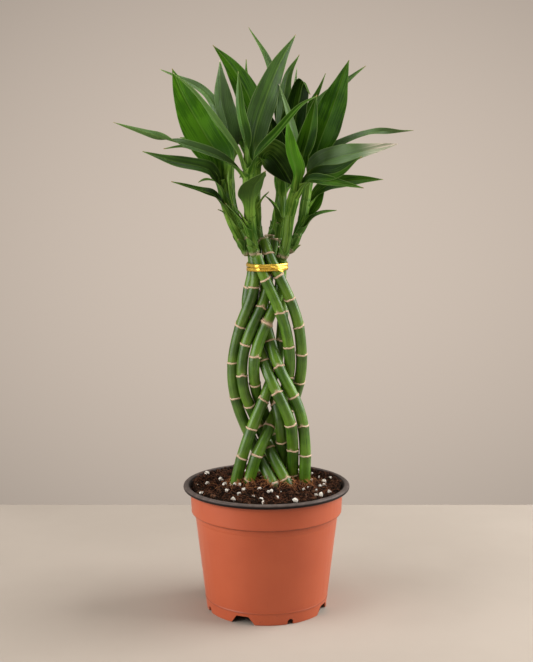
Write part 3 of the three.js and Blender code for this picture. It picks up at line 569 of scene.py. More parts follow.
def cane_skin(name, age):
    """The waxy skin of a living cane: green with fine lengthwise streaks, a cream scar line and a thin
    brown line at each node ring, the brown line partly its own colour and partly painted shade, and a
    tan callus at the cut."""
    material, tree, _ = new_material(name)
    skin = add(tree, "ShaderNodeAttribute", attribute_name="skin").outputs["Vector"]
    above, below, callus = (add(tree, "ShaderNodeAttribute", attribute_name=value).outputs["Fac"]
                            for value in ("above_ring", "below_ring", "callus"))
    # Streaks about 1 mm wide and 40 mm long, and clouds about 11 mm across
    drawn = add(tree, "ShaderNodeMapping", {"Vector": skin, "Scale": (1.0, 1.0, 0.025)})
    streaks = add(tree, "ShaderNodeTexNoise", {"Vector": drawn, "Scale": 1.1, "Detail": 4})
    clouds = add(tree, "ShaderNodeTexNoise", {"Vector": skin, "Scale": 0.09, "Detail": 3})
    both = add(tree, "ShaderNodeMath", {0: streaks, 1: clouds}, operation="ADD")
    dark, light = ([lerp(a, b, age) for a, b in zip(linear(fresh), linear(old))]
                   for fresh, old in (("#3f6c0c", "#253c08"), ("#68981e", "#425e18")))
    green = layered(tree, dark, [(both, 0.78, 1.22, 1.0, light)])
    # The skin is blue-green below a ring and pales to yellow-green down to the next one
    shaded = layered(tree, green, [(below, 17.0, 0.5, 0.42, "#1f4018"), (above, 15.0, 0.8, 0.3, "#7a9c2c")],
                     "SMOOTHSTEP")
    near = add(tree, "ShaderNodeMath", {0: above, 1: below}, operation="MINIMUM")
    scar = add(tree, "ShaderNodeMapRange", {0: near, 1: 0.95, 2: 0.6, 3: 0.0, 4: 1.0})
    dull = add(tree, "ShaderNodeMath", {0: scar, 1: callus}, operation="MAXIMUM")
    finish_material(tree, {
        "Base Color": layered(tree, shaded, [
            # The thin brown line just above each ring is partly its own colour and partly painted shade
            (above, 1.35, 0.95, 0.6, "#3f2c16"), (scar, "#cfb294"), (callus, "#cfae92")]),
        "Roughness": add(tree, "ShaderNodeMapRange", {0: dull, 1: 0.0, 2: 1.0, 3: 0.37, 4: 0.75}),
        "Coat Weight": 0.2, "Coat Roughness": 0.26, "IOR": 1.45,
    }, streaks, 0.3, 0.00025)
    return material


def cut_cane():
    """The dried face of a cut cane: cork-brown rim and paler pith with dark vessel dots."""
    material, tree, place = new_material("dried_cut_cane")
    # Vessels are about 0.8 mm apart
    dots = add(tree, "ShaderNodeTexVoronoi", {"Vector": place, "Scale": 1300})
    finish_material(tree, {"Base Color": layered(tree, "#4d3524", [(dots, 0.1, 0.5, 1.0, "#8d6c4c")]),
                           "Roughness": 0.85}, dots, 0.6, 0.0003)
    return material


def leaf_blade():
    """A glossy living leaf: deep green with fine parallel veins, a pale midrib, a pale margin that is
    partly painted highlight, a grey-blue cast that is partly a waxy coat and partly painted sheen,
    painted shade towards the stem on dark leaves, a duller and greyer underside, a dry tip, and a light
    yellow-green sheath that clasps the stem."""
    material, tree, place = new_material("living_leaf")
    # blade holds the place across in millimetres, the place along in millimetres and the share along
    blade = add(tree, "ShaderNodeAttribute", attribute_name="blade").outputs["Vector"]
    shade, bloom, under, sheath, margin, dry = (
        add(tree, "ShaderNodeAttribute", attribute_name=value).outputs["Fac"]
        for value in ("shade", "bloom", "under", "sheath", "margin", "dry"))
    # Veins run the length of the blade about 1 mm apart, in bands of about 2.5 mm and clouds of 22 mm
    drawn = add(tree, "ShaderNodeMapping", {"Vector": blade, "Scale": (1.0, 0.012, 0.0)})
    veins = add(tree, "ShaderNodeTexNoise", {"Vector": drawn, "Scale": 0.95, "Detail": 3, "Roughness": 0.6})
    bands = add(tree, "ShaderNodeTexNoise", {"Vector": drawn, "Scale": 0.4, "Detail": 2})
    clouds = add(tree, "ShaderNodeTexNoise", {"Vector": place, "Scale": 45, "Detail": 2})
    lines = add(tree, "ShaderNodeMath", {0: veins, 1: bands}, operation="ADD")
    more = add(tree, "ShaderNodeMath", {0: lines, 1: clouds}, operation="ADD")
    mixed = add(tree, "ShaderNodeMapRange", {0: more, 1: 1.4, 2: 1.64, 3: 0.0, 4: 1.0})
    dark = layered(tree, "#4a8a0a", [(shade, "#0e1d04")])
    light = layered(tree, "#68b016", [(shade, "#263f0c")])
    # Painted shade: dark leaves are painted darker towards the stem, for the shade deep in the crown
    parts = add(tree, "ShaderNodeSeparateXYZ", {0: blade})
    inner = add(tree, "ShaderNodeMapRange", {0: parts.outputs["Z"], 1: 0.6, 2: 0.05, 3: 0.0, 4: 0.8})
    depth = add(tree, "ShaderNodeMath", {0: inner, 1: shade}, operation="MULTIPLY")
    across = add(tree, "ShaderNodeMath", {0: parts.outputs["X"]}, operation="ABSOLUTE")
    height = add(tree, "ShaderNodeSeparateXYZ", {0: place}).outputs["Z"]
    clasp = layered(tree, "#3a6119", [(mixed, "#729539"), (height, 0.405, 0.355, 0.5, "#1f3a0e")])
    # A leaf dies back in streaks between its veins
    frayed = add(tree, "ShaderNodeMapRange", {0: lines, 1: 0.9, 2: 1.1, 3: 0.3, 4: 1.0})
    spent = add(tree, "ShaderNodeMath", {0: dry, 1: frayed}, operation="MULTIPLY")
    straw = layered(tree, "#946a4a", [(bloom, 0.1, 0.45, 1.0, "#e2d8c6")])
    dull = add(tree, "ShaderNodeMath", {0: under, 1: dry}, operation="MAXIMUM")
    finish_material(tree, {
        "Base Color": layered(tree, dark, [
            # The grey-blue cast is partly a waxy coat and partly painted sheen
            (mixed, light), (bloom, "#869b74"),
            # Painted shade darkens the blade towards the stem
            (depth, "#0c1e04"), (across, 0.9, 0.3, 0.3, "#6d8f3c"),
            (under, 0.0, 1.0, 0.3, "#5c7a40"), (sheath, clasp),
            # The pale margin is partly the leaf's own colour and partly painted highlight
            (margin, 0.7, 0.15, 0.36, "#8aa35e"), (spent, straw)]),
        "Roughness": add(tree, "ShaderNodeMapRange", {0: dull, 1: 0.0, 2: 1.0, 3: 0.24, 4: 0.5}),
        "Specular IOR Level": add(tree, "ShaderNodeMapRange", {0: bloom, 1: 0.0, 2: 0.4, 3: 0.04, 4: 0.24}),
        "IOR": 1.45,
    }, lines, 0.6, 0.0005)
    return material


def gold_foil():
    """Gold-lacquered foil over a paper twist tie: bright metal, crinkled in fine facets."""
    material, tree, place = new_material("gold_lacquered_foil")
    # Facets are about 1.1 mm across and worn spots 2 mm
    folds = add(tree, "ShaderNodeTexVoronoi", {"Vector": place, "Scale": 900}, feature="F1")
    worn = add(tree, "ShaderNodeTexNoise", {"Vector": place, "Scale": 500, "Detail": 3})
    finish_material(tree, {
        "Base Color": layered(tree, "#f0b420", [(worn, "#ffe670")]),
        "Roughness": add(tree, "ShaderNodeMapRange", {0: worn, 1: 0.3, 2: 0.7, 3: 0.24, 4: 0.38}),
        "Metallic": 0.8,
    }, folds, 0.18, 0.0003)
    return material


# Pot

def pot_wall_radius(z):
    return lerp(FOOT_RADIUS, BODY_TOP_RADIUS, z / COLLAR_BOTTOM)


def pot_profile():
    """Rows of (radius, height, material) from the middle of the floor's underside round the outside, over
    the rim and down to the middle of the floor's upper side. Material 0 is terracotta and 1 is black."""
    rim_bottom = POT_HEIGHT - RIM_DEPTH
    floor_top = FOOT_HEIGHT + FLOOR_THICKNESS
    inside_foot = pot_wall_radius(FOOT_HEIGHT) - WALL
    inside_body = BODY_TOP_RADIUS - WALL
    inside_collar = COLLAR_RADIUS - WALL
    floor_radii = (0.5, 12, 24, 30, 34, 38, 46)
    # The floor's underside and the foot skirt
    rows = [(r, FOOT_HEIGHT, 1) for r in floor_radii]
    rows += [(inside_foot - 0.8, FOOT_HEIGHT, 1), (inside_foot, FOOT_HEIGHT - 0.8, 1)]
    rows += [(pot_wall_radius(z) - WALL, z, 1) for z in (8, 4, 0.4)]
    rows += [(FOOT_RADIUS - WALL + 0.3, 0, 1), (FOOT_RADIUS - 0.35, 0, 0)]
    rows += [(pot_wall_radius(z), z, 0) for z in (0.35, 2.5, 5, 7.5, 9.6)]
    # The ring above the foot stands proud and has a crease over it
    rows += [(pot_wall_radius(z) + proud, z, 0) for z, proud in (
        (10.6, 0.05), (11.2, 0.28), (11.7, 0.3), (12.2, 0.12), (12.6, -0.1), (13.4, -0.1))]
    rows += [(pot_wall_radius(z), z, 0) for z in evenly(15, COLLAR_BOTTOM - 6.5, 22)]
    # The wall draws in a little, steps out to the collar, and the collar flares to the rim
    rows += [(BODY_TOP_RADIUS + out, COLLAR_BOTTOM + up, 0) for out, up in (
        (-0.75, -5.6), (-0.5, -5.0), (-0.3, -4.2), (-0.2, -1.2), (-0.15, -0.4), (0.1, 0.15), (0.9, 0.3),
        (2.4, 0.45), (3.1, 0.8), (3.45, 1.5), (3.55, 2.6))]
    rows += [(r, z, 0) for r, z in zip(evenly(COLLAR_RADIUS - COLLAR_FLARE, COLLAR_RADIUS, 8),
                                       evenly(COLLAR_BOTTOM + 4, rim_bottom - 3.4, 8))]
    rows += [(COLLAR_RADIUS + out, rim_bottom + up, 0) for out, up in (
        (0.05, -2.9), (0.6, -2.6), (0.85, -2.1), (0.85, -0.6), (1.1, -0.15), (1.9, 0.0), (3.4, 0.05))]
    # The rim's bead, outside and then over the top
    rows += [(RIM_RADIUS - inward, rim_bottom + up, 1) for inward, up in (
        (2.6, 0.02), (1.7, 0.1), (0.85, 0.5), (0.3, 1.2), (0.03, 2.0), (0.05, 2.9), (0.4, 3.8))]
    rows += [(RIM_RADIUS - inward, POT_HEIGHT - down, 1) for inward, down in (
        (1.05, 0.35), (1.9, 0.05), (2.8, 0), (3.8, 0.12), (4.7, 0.4), (5.5, 0.9), (6.2, 1.6), (7.0, 2.3),
        (7.9, 3.3), (8.6, 4.4))]
    # Down the inside to the floor
    rows += [(inside_collar - 0.1, POT_HEIGHT - 6, 1), (inside_collar - 0.3, 112, 1),
             (inside_collar - 0.5, 103, 1), (inside_collar - 0.6, COLLAR_BOTTOM + 2.8, 1),
             (inside_body + 0.8, COLLAR_BOTTOM + 1.2, 1), (inside_body, COLLAR_BOTTOM + 0.2, 1)]
    rows += [(pot_wall_radius(z) - WALL, z, 1) for z in (70, 40, floor_top + 1)]
    rows += [(pot_wall_radius(floor_top) - WALL - 1, floor_top, 1)]
    rows += [(r, floor_top, 1) for r in reversed(floor_radii)]
    return rows


def wide_notch_outline():
    bottom, top, height = WIDE_NOTCH["bottom"] / 2, WIDE_NOTCH["top"] / 2, WIDE_NOTCH["height"]
    half = [(bottom, -1), (top + NOTCH_CORNER * 0.7, height - NOTCH_CORNER * 1.3), (top, height - 0.4),
            (top - NOTCH_CORNER, height)]
    return half + [(-across, up) for across, up in reversed(half)]


def arch_notch_outline():
    radius, height = ARCH_NOTCH["width"] / 2, ARCH_NOTCH["height"]
    arc = [(radius * math.cos(angle), height - radius + radius * math.sin(angle))
           for angle in evenly(0, math.pi, 12)]
    return [(-radius, -1), (radius, -1)] + arc


def notch_cutter(outline, angle):
    """A closed prism with the notch's outline (across, up), which reaches through the foot's wall."""
    turn = Matrix.Rotation(angle, 3, "Z")
    skin = Skin()
    rings = [[skin.point(turn @ Vector((reach, across, up))) for across, up in outline]
             for reach in (FOOT_RADIUS - NOTCH_REACH, FOOT_RADIUS + NOTCH_REACH)]
    skin.tube(rings)
    skin.ends(rings)
    return skin


def drain_cutter(angle):
    """A prism through the floor."""
    skin = Skin()
    middle = polar(DRAIN_CIRCLE, angle)
    rings = [[skin.point(middle + polar(DRAIN_RADIUS, a, z)) for a in turns(DRAIN_SIDES)]
             for z in (FOOT_HEIGHT - 2, FOOT_HEIGHT + FLOOR_THICKNESS + 2)]
    skin.tube(rings)
    skin.ends(rings)
    return skin


def make_pot(terracotta, black):
    skin = Skin()
    rows = pot_profile()
    rings = [skin.ring(radius, POT_SEGMENTS, z) for radius, z, _ in rows]
    for i in range(len(rows) - 1):
        skin.tube(rings[i:i + 2], max(rows[i][2], rows[i + 1][2]))
    skin.ends(rings, 1)
    pot = skin.piece("pot_shell", [terracotta, black])
    cutters = bpy.data.collections.new("pot_cutters")
    bpy.context.scene.collection.children.link(cutters)
    made = []
    for i in range(NOTCH_PAIRS):
        angle = math.radians(FIRST_NOTCH + 360 / NOTCH_PAIRS * i)
        halfway = angle + math.pi / NOTCH_PAIRS
        made += [notch_cutter(wide_notch_outline(), angle), notch_cutter(arch_notch_outline(), halfway),
                 drain_cutter(halfway)]
    for i, cutter in enumerate(made):
        piece = cutter.piece(f"pot_cutter_{i}", [terracotta])
        bpy.context.collection.objects.unlink(piece)
        cutters.objects.link(piece)
    cut = pot.modifiers.new("notches", "BOOLEAN")
    cut.operation = "DIFFERENCE"
    cut.operand_type = "COLLECTION"
    cut.collection = cutters
    cut.solver = "EXACT"
    plain_mesh(pot)
    for piece in list(cutters.objects):
        bpy.data.objects.remove(piece)
    bpy.data.collections.remove(cutters)
    pot.data.set_sharp_from_angle(angle=math.radians(SHARP_EDGE))
    dress(pot, "terracotta_plastic", "pot")


# Canes

def cane_radius(z):
    depth = min(max((BRAID_TOP - z) / (BRAID_TOP - BRAID_BOTTOM), 0), 1)
    return lerp(CANE_TOP_RADIUS, CANE_BOTTOM_RADIUS, depth)


def route_at(route, z):
    """The route's own curve, read at a height."""
    last = len(route) - 1
    i = 0
    while i < last - 1 and z < route[i + 1][2]:
        i += 1
    drop = route[i][2] - route[i + 1][2]
    t = (route[i][2] - z) / drop
    t2, t3 = t * t, t * t * t

    def slope(k, axis):
        a, b = route[max(k - 1, 0)], route[min(k + 1, last)]
        return (b[axis] - a[axis]) / (a[2] - b[2]) * drop

    return [route[i][axis] * (2 * t3 - 3 * t2 + 1) + slope(i, axis) * (t3 - 2 * t2 + t)
            + route[i + 1][axis] * (3 * t2 - 2 * t3) + slope(i + 1, axis) * (t3 - t2) for axis in (0, 1)]


def push_apart(one, two, levels, rooms, reach):
    """Where two canes come closer than their room, each moves half the way apart."""
    last = len(levels) - 1
    for i, room in enumerate(rooms):
        p = one[i]
        for j in range(max(i - reach, 0), min(i + reach, last) + 1):
            q = two[j]
            dx = q[0] - p[0]
            dy = q[1] - p[1]
            flat = math.sqrt(dx * dx + dy * dy) + 1e-6
            if flat >= room:
                continue
            away = math.hypot(flat, levels[i] - levels[j])
            if away >= room:
                continue
            push = min((room - away) / 2, 0.5)
            p[0] -= push * dx / flat
            p[1] -= push * dy / flat
            q[0] += push * dx / flat
            q[1] += push * dy / flat


def settle_canes():
    """The canes bend clear of each other. Now and then each is smoothed, but not in the last rounds."""
    levels = list(range(BRAID_TOP, BRAID_BOTTOM - 1, -LEVEL_STEP))
    canes = [[route_at(cane["route"], min(z, cane["route"][0][2])) for z in levels] for cane in CANES]
    rooms = [2 * cane_radius(z) + NODE_RING_PROUD + 2 * GAP for z in levels]
    for turn in range(SETTLE_ROUNDS):
        for a in range(len(canes)):
            for b in range(a + 1, len(canes)):
                push_apart(canes[a], canes[b], levels, rooms, reach=2)
        if turn % SMOOTH_EVERY == 0 and turn < SETTLE_ROUNDS - LAST_ROUNDS:
            for cane in canes:
                old = [list(p) for p in cane]
                for i in range(1, len(cane) - 1):
                    for axis in (0, 1):
                        cane[i][axis] = (old[i - 1][axis] + 2 * old[i][axis] + old[i + 1][axis]) / 4
    return [[Vector((x, y, z)) for (x, y), z in zip(cane, levels)] for cane in canes]


def level_point(levels, z):
    """The cane's middle at a height, on a smooth curve through its settled levels."""
    place = (BRAID_TOP - z) / LEVEL_STEP
    if place > len(levels) - 1:
        low = levels[-1]
        return Vector((low.x, low.y, z))
    i = min(max(int(place), 0), len(levels) - 2)
    t = min(place - i, 1)
    a, b, c, d = levels[max(i - 1, 0)], levels[i], levels[i + 1], levels[min(i + 2, len(levels) - 1)]
    x, y = ((2 * b[k] + (c[k] - a[k]) * t + (2 * a[k] - 5 * b[k] + 4 * c[k] - d[k]) * t * t
             + (3 * b[k] - a[k] - 3 * c[k] + d[k]) * t ** 3) / 2 for k in (0, 1))
    return Vector((x, y, z))


def cane_rows(cane):
    """The heights of a cane's rows, close together at each node ring and at the cut top."""
    top = cane["route"][0][2]
    rows = {CANE_ROOT, CANE_ROOT + 20}
    z = top - CANE_STEP
    while z > ROOTED_BELOW:
        rows.add(round(z, 3))
        z -= CANE_STEP
    for ring in cane["rings"]:
        rows = {row for row in rows if abs(row - ring) > 5.6}
        rows |= {round(ring + side * step, 3) for step in RING_STEPS for side in (-1, 1)} | {ring}
    rows = sorted((row for row in rows if row < top - 1.6), reverse=True)
    return [top - 1.2, top - 1.55] + rows


def make_cane(index, cane, levels, cut):
    name = cane["name"]
    draw = random.Random(CANE_SEED + index)
    top = cane["route"][0][2]
    rings = cane["rings"]
    first_bud = math.radians(cane.get("bud", draw.uniform(0, 360)))
    # Each ring has a bud on the other side from the last one's, a tilt and a size of bud
    buds = [(first_bud + math.pi * i + draw.uniform(-0.5, 0.5), draw.uniform(0.2, 0.9),
             draw.uniform(0.6, 1)) for i in range(len(rings))]
    oval = draw.uniform(0, math.pi)
    skin = Skin(skin="FLOAT_VECTOR", above_ring="FLOAT", below_ring="FLOAT", callus="FLOAT")
    loops = []
    gone = 0
    before = level_point(levels, top)
    for w in cane_rows(cane):
        middle = level_point(levels, w)
        gone += (middle - before).length
        before = middle
        along = (level_point(levels, w + 1.5) - level_point(levels, w - 1.5)).normalized()
        across = square_to(along, RIGHT)
        other = along.cross(across)
        over = min((w - z for z in rings if w >= z), default=FAR_FROM_RING)
        under = min((z - w for z in rings if w <= z), default=FAR_FROM_RING)
        nearest = min(range(len(rings)), key=lambda i: abs(rings[i] - w))
        dw = w - rings[nearest]
        knotted = rings[nearest] == cane.get("knot")
        side, tilt, eye = buds[nearest]
        loop = []
        for angle in turns(CANE_SIDES):
            turned = (angle - side + math.pi) % TURN - math.pi
            # A ring leans, rises at its bud and wavers, and the skin near it is drawn along
            sway = noise.noise(polar(1.6, angle, rings[nearest] + index * 9))
            lift = (tilt * math.cos(turned) + 0.9 * bell(turned, 0.35) + 0.5 * sway) * bell(dw, 5)
            knot = bell(dw - 0.4, KNOT_WIDTH) * (1 + sway) if knotted else 0
            radius = cane_radius(w) * (1 + 0.018 * math.cos(2 * (angle - oval)))
            radius += RING_HEIGHT * bell(dw, RING_WIDTH) * (1 + 0.7 * sway)
            radius += SWELL_HEIGHT * bell(dw + 2.2, SWELL_WIDTH)
            radius -= GROOVE_DEPTH * bell(dw - 1.4, GROOVE_WIDTH)
            radius += eye * BUD_HEIGHT * bell(turned, 0.26) * bell(dw - 1.5, BUD_WIDTH)
            radius += KNOT_HEIGHT * knot
            radius += SKIN_GRAIN * noise.noise(polar(2, angle, w * 0.05 + index * 7))
            if w < ROOTED_BELOW:
                radius -= SLIMMER_IN_SOIL
            flat = polar(radius, angle)
            callus = max(0.85 * bell(w - top + 1.0, 0.9), min(1.2 * knot, 0.95),
                         0.9 * eye * bell(turned, 0.3) * bell(dw - 1.2, BUD_WIDTH))
            loop.append(skin.point(
                middle + along * lift + across * flat.x + other * flat.y, callus=callus,
                skin=(flat.x, flat.y, gone + index * 500), above_ring=min(over, FAR_FROM_RING),
                below_ring=min(under, FAR_FROM_RING)))
        loops.append(loop)
    skin.tube(list(reversed(loops)))
    # The cut: a rounded lip of callus, then a shallow ragged dish of pith
    radius = cane_radius(top)
    dish = [(-0.35, radius + 0.02), (-0.1, radius - 0.25), (0.0, radius - 0.7), (-0.25, radius - 1.15),
            (-0.7, radius - 1.5), (-0.9, radius * 0.45), (-0.8, radius * 0.18)]
    lid = [loops[0]]
    middle = level_point(levels, top)
    slant = draw.uniform(0, TURN)
    for drop, size in dish:
        loop = []
        for angle in turns(CANE_SIDES):
            ragged = 0.35 * noise.noise(polar(3, angle, size + index))
            rise = drop - 0.3 + 0.3 * math.cos(angle - slant) * size / radius + ragged
            flat = polar(size, angle)
            loop.append(skin.point(middle + flat + UP * min(rise, 0), skin=flat, above_ring=FAR_FROM_RING,
                                   below_ring=FAR_FROM_RING, callus=1))
        lid.append(loop)
    skin.tube(lid[:3])
    skin.tube(lid[2:], 1)
    skin.face(lid[-1], 1)
    skin.face(reversed(loops[-1]))
    piece = skin.piece(name + "_skin", [cane_skin(f"living_{name}_skin", cane["age"]), cut])
    dress(piece, "cane", name)


# Shoots

def through(points, place):
    """A smooth curve through points, read at a place counted in points from the first."""
    last = len(points) - 1
    i = min(max(int(place), 0), last - 1)
    t = place - i
    p1, p2 = points[i], points[i + 1]
    p0 = points[i - 1] if i > 0 else p1 * 2 - p2
    p3 = points[i + 2] if i + 2 <= last else p2 * 2 - p1
    return (p1 * 2 + (p2 - p0) * t + (p0 * 2 - p1 * 5 + p2 * 4 - p3) * t * t
            + (p1 * 3 - p0 - p2 * 3 + p3) * t ** 3) / 2


def way_along(points, place):
    return (through(points, place + 0.06) - through(points, place - 0.06)).normalized()


def stem_radius(place, girth):
    i = min(max(int(place), 0), len(STEM_RADII) - 2)
    return lerp(STEM_RADII[i], STEM_RADII[i + 1], min(max(place - i, 0), 1)) * girth


def blade_share(s):
    """Half the blade's width at a fraction s of its length, as a share of its full width."""
    leaf = math.sin(math.pi * s ** 0.8)
    return 0.5 * (0.96 * max(leaf, 0) + 0.26 * (1 - s) ** 1.5)


LEAF_VALUES = dict(blade="FLOAT_VECTOR", shade="FLOAT", bloom="FLOAT", under="FLOAT", sheath="FLOAT",
                   margin="FLOAT", dry="FLOAT")
HALF_ACROSS = (0.05, 0.14, 0.27, 0.42, 0.58, 0.74, 0.88, 0.97, 1)
BLADE_ACROSS = [-u for u in reversed(HALF_ACROSS)] + [0] + list(HALF_ACROSS)


def add_blade(skin, rows, shade, bloom, number, dry_part=0.03):
    """A thin closed leaf from rows of middle, along, side, half, curl, fold, share, sheath, wave and thin.
    side points across, half is half the width along the surface, curl bends it round the stem, fold
    raises both halves to a V, share is how far along the blade the row is, wave lifts one edge and
    lowers the other, and thin is a share of the full thickness."""
    tops, bottoms = [], []
    walked = 0
    before = rows[0]["middle"]
    for row in rows:
        walked += (row["middle"] - before).length
        before = row["middle"]
        side = row["side"]
        face = side.cross(row["along"])
        fold, curl = row["fold"], row["curl"]
        top, bottom = [], []
        for u in BLADE_ACROSS:
            reach = abs(u) * row["half"]
            heading = fold + curl * reach
            if curl * reach > 0.02:
                out = (math.sin(heading) - math.sin(fold)) / curl
                up = (math.cos(fold) - math.cos(heading)) / curl
            else:
                out = reach * math.cos(fold)
                up = reach * math.sin(fold)
            up += row["wave"] * abs(u) ** 2.2 * (1 if u > 0 else -0.8)
            # The midrib lies in a groove and is thicker below
            up -= 0.16 * bell(reach, 0.7)
            thick = (lerp(BLADE_MIDDLE, BLADE_EDGE, abs(u)) + 0.35 * bell(reach, 1.1)) * row["thin"]
            outward = -side * math.copysign(math.sin(heading), u) + face * math.cos(heading)
            place = row["middle"] + side * math.copysign(out, u) + face * up
            values = dict(
                blade=(u * row["half"], walked + 300 * number, row["share"]), shade=shade, bloom=bloom,
                sheath=row["sheath"], margin=(1 - abs(u)) * row["half"],
                dry=smooth((row["share"] - 1 + dry_part) / dry_part * 1.4))
            top.append(skin.point(place, under=0, **values))
            bottom.append(skin.point(place - outward * thick, under=1, **values))
        tops.append(top)
        bottoms.append(bottom)
    last = len(BLADE_ACROSS) - 1
    for i in range(len(rows) - 1):
        for k in range(last):
            skin.face((tops[i][k], tops[i][k + 1], tops[i + 1][k + 1], tops[i + 1][k]))
            skin.face((bottoms[i][k + 1], bottoms[i][k], bottoms[i + 1][k], bottoms[i + 1][k + 1]))
        skin.face((bottoms[i][0], tops[i][0], tops[i + 1][0], bottoms[i + 1][0]))
        skin.face((tops[i][last], bottoms[i][last], bottoms[i + 1][last], tops[i + 1][last]))
    skin.ends([top + bottom[::-1] for top, bottom in zip(tops, bottoms)])


def even_line(points, count):
    """A line read again at count + 1 points that lie evenly along it."""
    walked = [0]
    for one, two in zip(points, points[1:]):
        walked.append(walked[-1] + (two - one).length)
    line = []
    i = 0
    for k in range(count + 1):
        want = walked[-1] * k / count
        while i < len(points) - 2 and walked[i + 1] < want:
            i += 1
        line.append(points[i].lerp(points[i + 1], (want - walked[i]) / (walked[i + 1] - walked[i])))
    return line


def leaf_midrib(stem, place, leaf):
    """The line down the middle of a leaf, from its stem to its tip, in many short steps."""
    start = through(stem, place)
    tip = Vector(leaf["tip"])
    shares = evenly(0, 1, MIDRIB_STEPS)
    if "mid" in leaf:
        knots = [start] + [Vector(p) for p in leaf["mid"]] + [tip]
        return [through(knots, (len(knots) - 1) * b) for b in shares]
    chord = tip - start
    reach = 0.34 * chord.length
    chord.normalize()
    stem_way = (start - through(stem, place - 0.4)).normalized()
    leave = start + chord.lerp(stem_way, LEAF_LIFT).normalized() * reach
    arrive = tip - (chord + UP * leaf["droop"]).normalized() * reach
    return [start * (1 - b) ** 3 + leave * (3 * (1 - b) ** 2 * b) + arrive * (3 * (1 - b) * b * b)
            + tip * b ** 3 for b in shares]


def leaf_rows(shoot, stem, leaf, draw):
    """The rows of one leaf: a sheath that clasps the stem, then the blade along its own midrib."""
    place = 1 + leaf["t"] * (len(shoot["axis"]) - 1)
    girth, width = shoot["girth"], leaf["width"]
    midrib = leaf_midrib(stem, place, leaf)
    length = sum((two - one).length for one, two in zip(midrib, midrib[1:]))
    chord = (midrib[-1] - midrib[0]).normalized()
    across = Matrix.Rotation(math.radians(leaf["roll"]), 3, chord) @ chord.cross(UP).normalized()
    facing = across.cross(chord)
    stem_way = (through(stem, place) - through(stem, place - 0.4)).normalized()
    out = square_to(stem_way, (midrib[MIDRIB_STEPS // 4] - midrib[0]).normalized())
    rows = []
    span = min(SHEATH_SPAN, place - 0.7)
    for i in range(SHEATH_ROWS):
        f = i / SHEATH_ROWS
        at = place - span * (1 - f)
        along = way_along(stem, at)
        away = square_to(along, out)
        r = stem_radius(min(at, STEM_TOP), girth) + lerp(-0.5, SHEATH_GAP, smooth(f * 2.2))
        rows.append(dict(
            middle=through(stem, at) + away * r, along=along, side=along.cross(-away).normalized(),
            half=r * lerp(SHEATH_WRAP["low"], SHEATH_WRAP["high"], f ** 1.5), curl=1 / r, fold=0, share=0,
            sheath=1, wave=0, thin=lerp(0.5, 1, f)))
    steps = max(26, int(length / LEAF_STEP))
    line = even_line(midrib, steps)
    waves = length / draw.uniform(30, 44)
    phase = draw.uniform(0, TURN)
    swing = draw.uniform(0.02, 0.05) * width
    sway = draw.uniform(-0.12, 0.12)
    turn_at, turn_by = leaf.get("twist", (0.6, 0))
    clasp = stem_radius(min(place, STEM_TOP), girth) + SHEATH_GAP
    for i, middle in enumerate(line):
        s = i / steps
        gone = s * length
        along = (line[min(i + 1, steps)] - line[max(i - 1, 0)]).normalized()
        # The blade turns from the way it clasps the stem to the way it faces
        side = (across - along * across.dot(along) + along.cross(facing)).normalized()
        away = square_to(along, out)
        clasped = along.cross(-away).normalized()
        turn = math.atan2(along.dot(side.cross(clasped)), side.dot(clasped))
        turn *= 1 - smooth(gone / min(0.3 * length, TURN_REACH))
        turn += sway * math.pi * s * s + math.radians(turn_by) * smooth((s - turn_at + 0.16) / 0.32)
        half = max(width * blade_share(s), 0.22)
        half += (clasp * SHEATH_WRAP["high"] - width * 0.13) * bell(gone, THROAT_REACH)
        rows.append(dict(
            middle=middle + away * (clasp * bell(gone, STAND_OFF_REACH)), along=along, half=half,
            side=Matrix.Rotation(turn, 3, along) @ side, curl=bell(gone, CURL_REACH) / clasp,
            fold=math.radians(leaf.get("fold", 16) + 38 * (1 - s) ** 3) * smooth(gone / FOLD_REACH),
            share=s, sheath=1 - smooth((gone - 4) / SHEATH_FADE), thin=1,
            wave=swing * math.sin(TURN * waves * s + phase) * math.sin(math.pi * s)))
    return rows


def scale_rows(stem, girth, place, angle, length):
    """The rows of a small dry scale leaf that stands off the foot of a shoot."""
    along = way_along(stem, place)
    side = along.cross(Vector((math.sin(angle), -math.cos(angle), 0))).normalized()
    out = along.cross(side)
    radius = stem_radius(place, girth) + 0.15
    foot = through(stem, place)
    return [dict(middle=foot + along * (length * s) + out * (radius + 0.16 * length * s * s), along=along,
                 side=side, half=max(radius * 1.7 * (1 - s) ** 0.8, 0.15), curl=(1 - s * 0.5) / radius,
                 fold=0, share=s * 0.9, sheath=1 - s, wave=0, thin=0.8)
            for s in evenly(0, 1, SCALE_ROWS)]


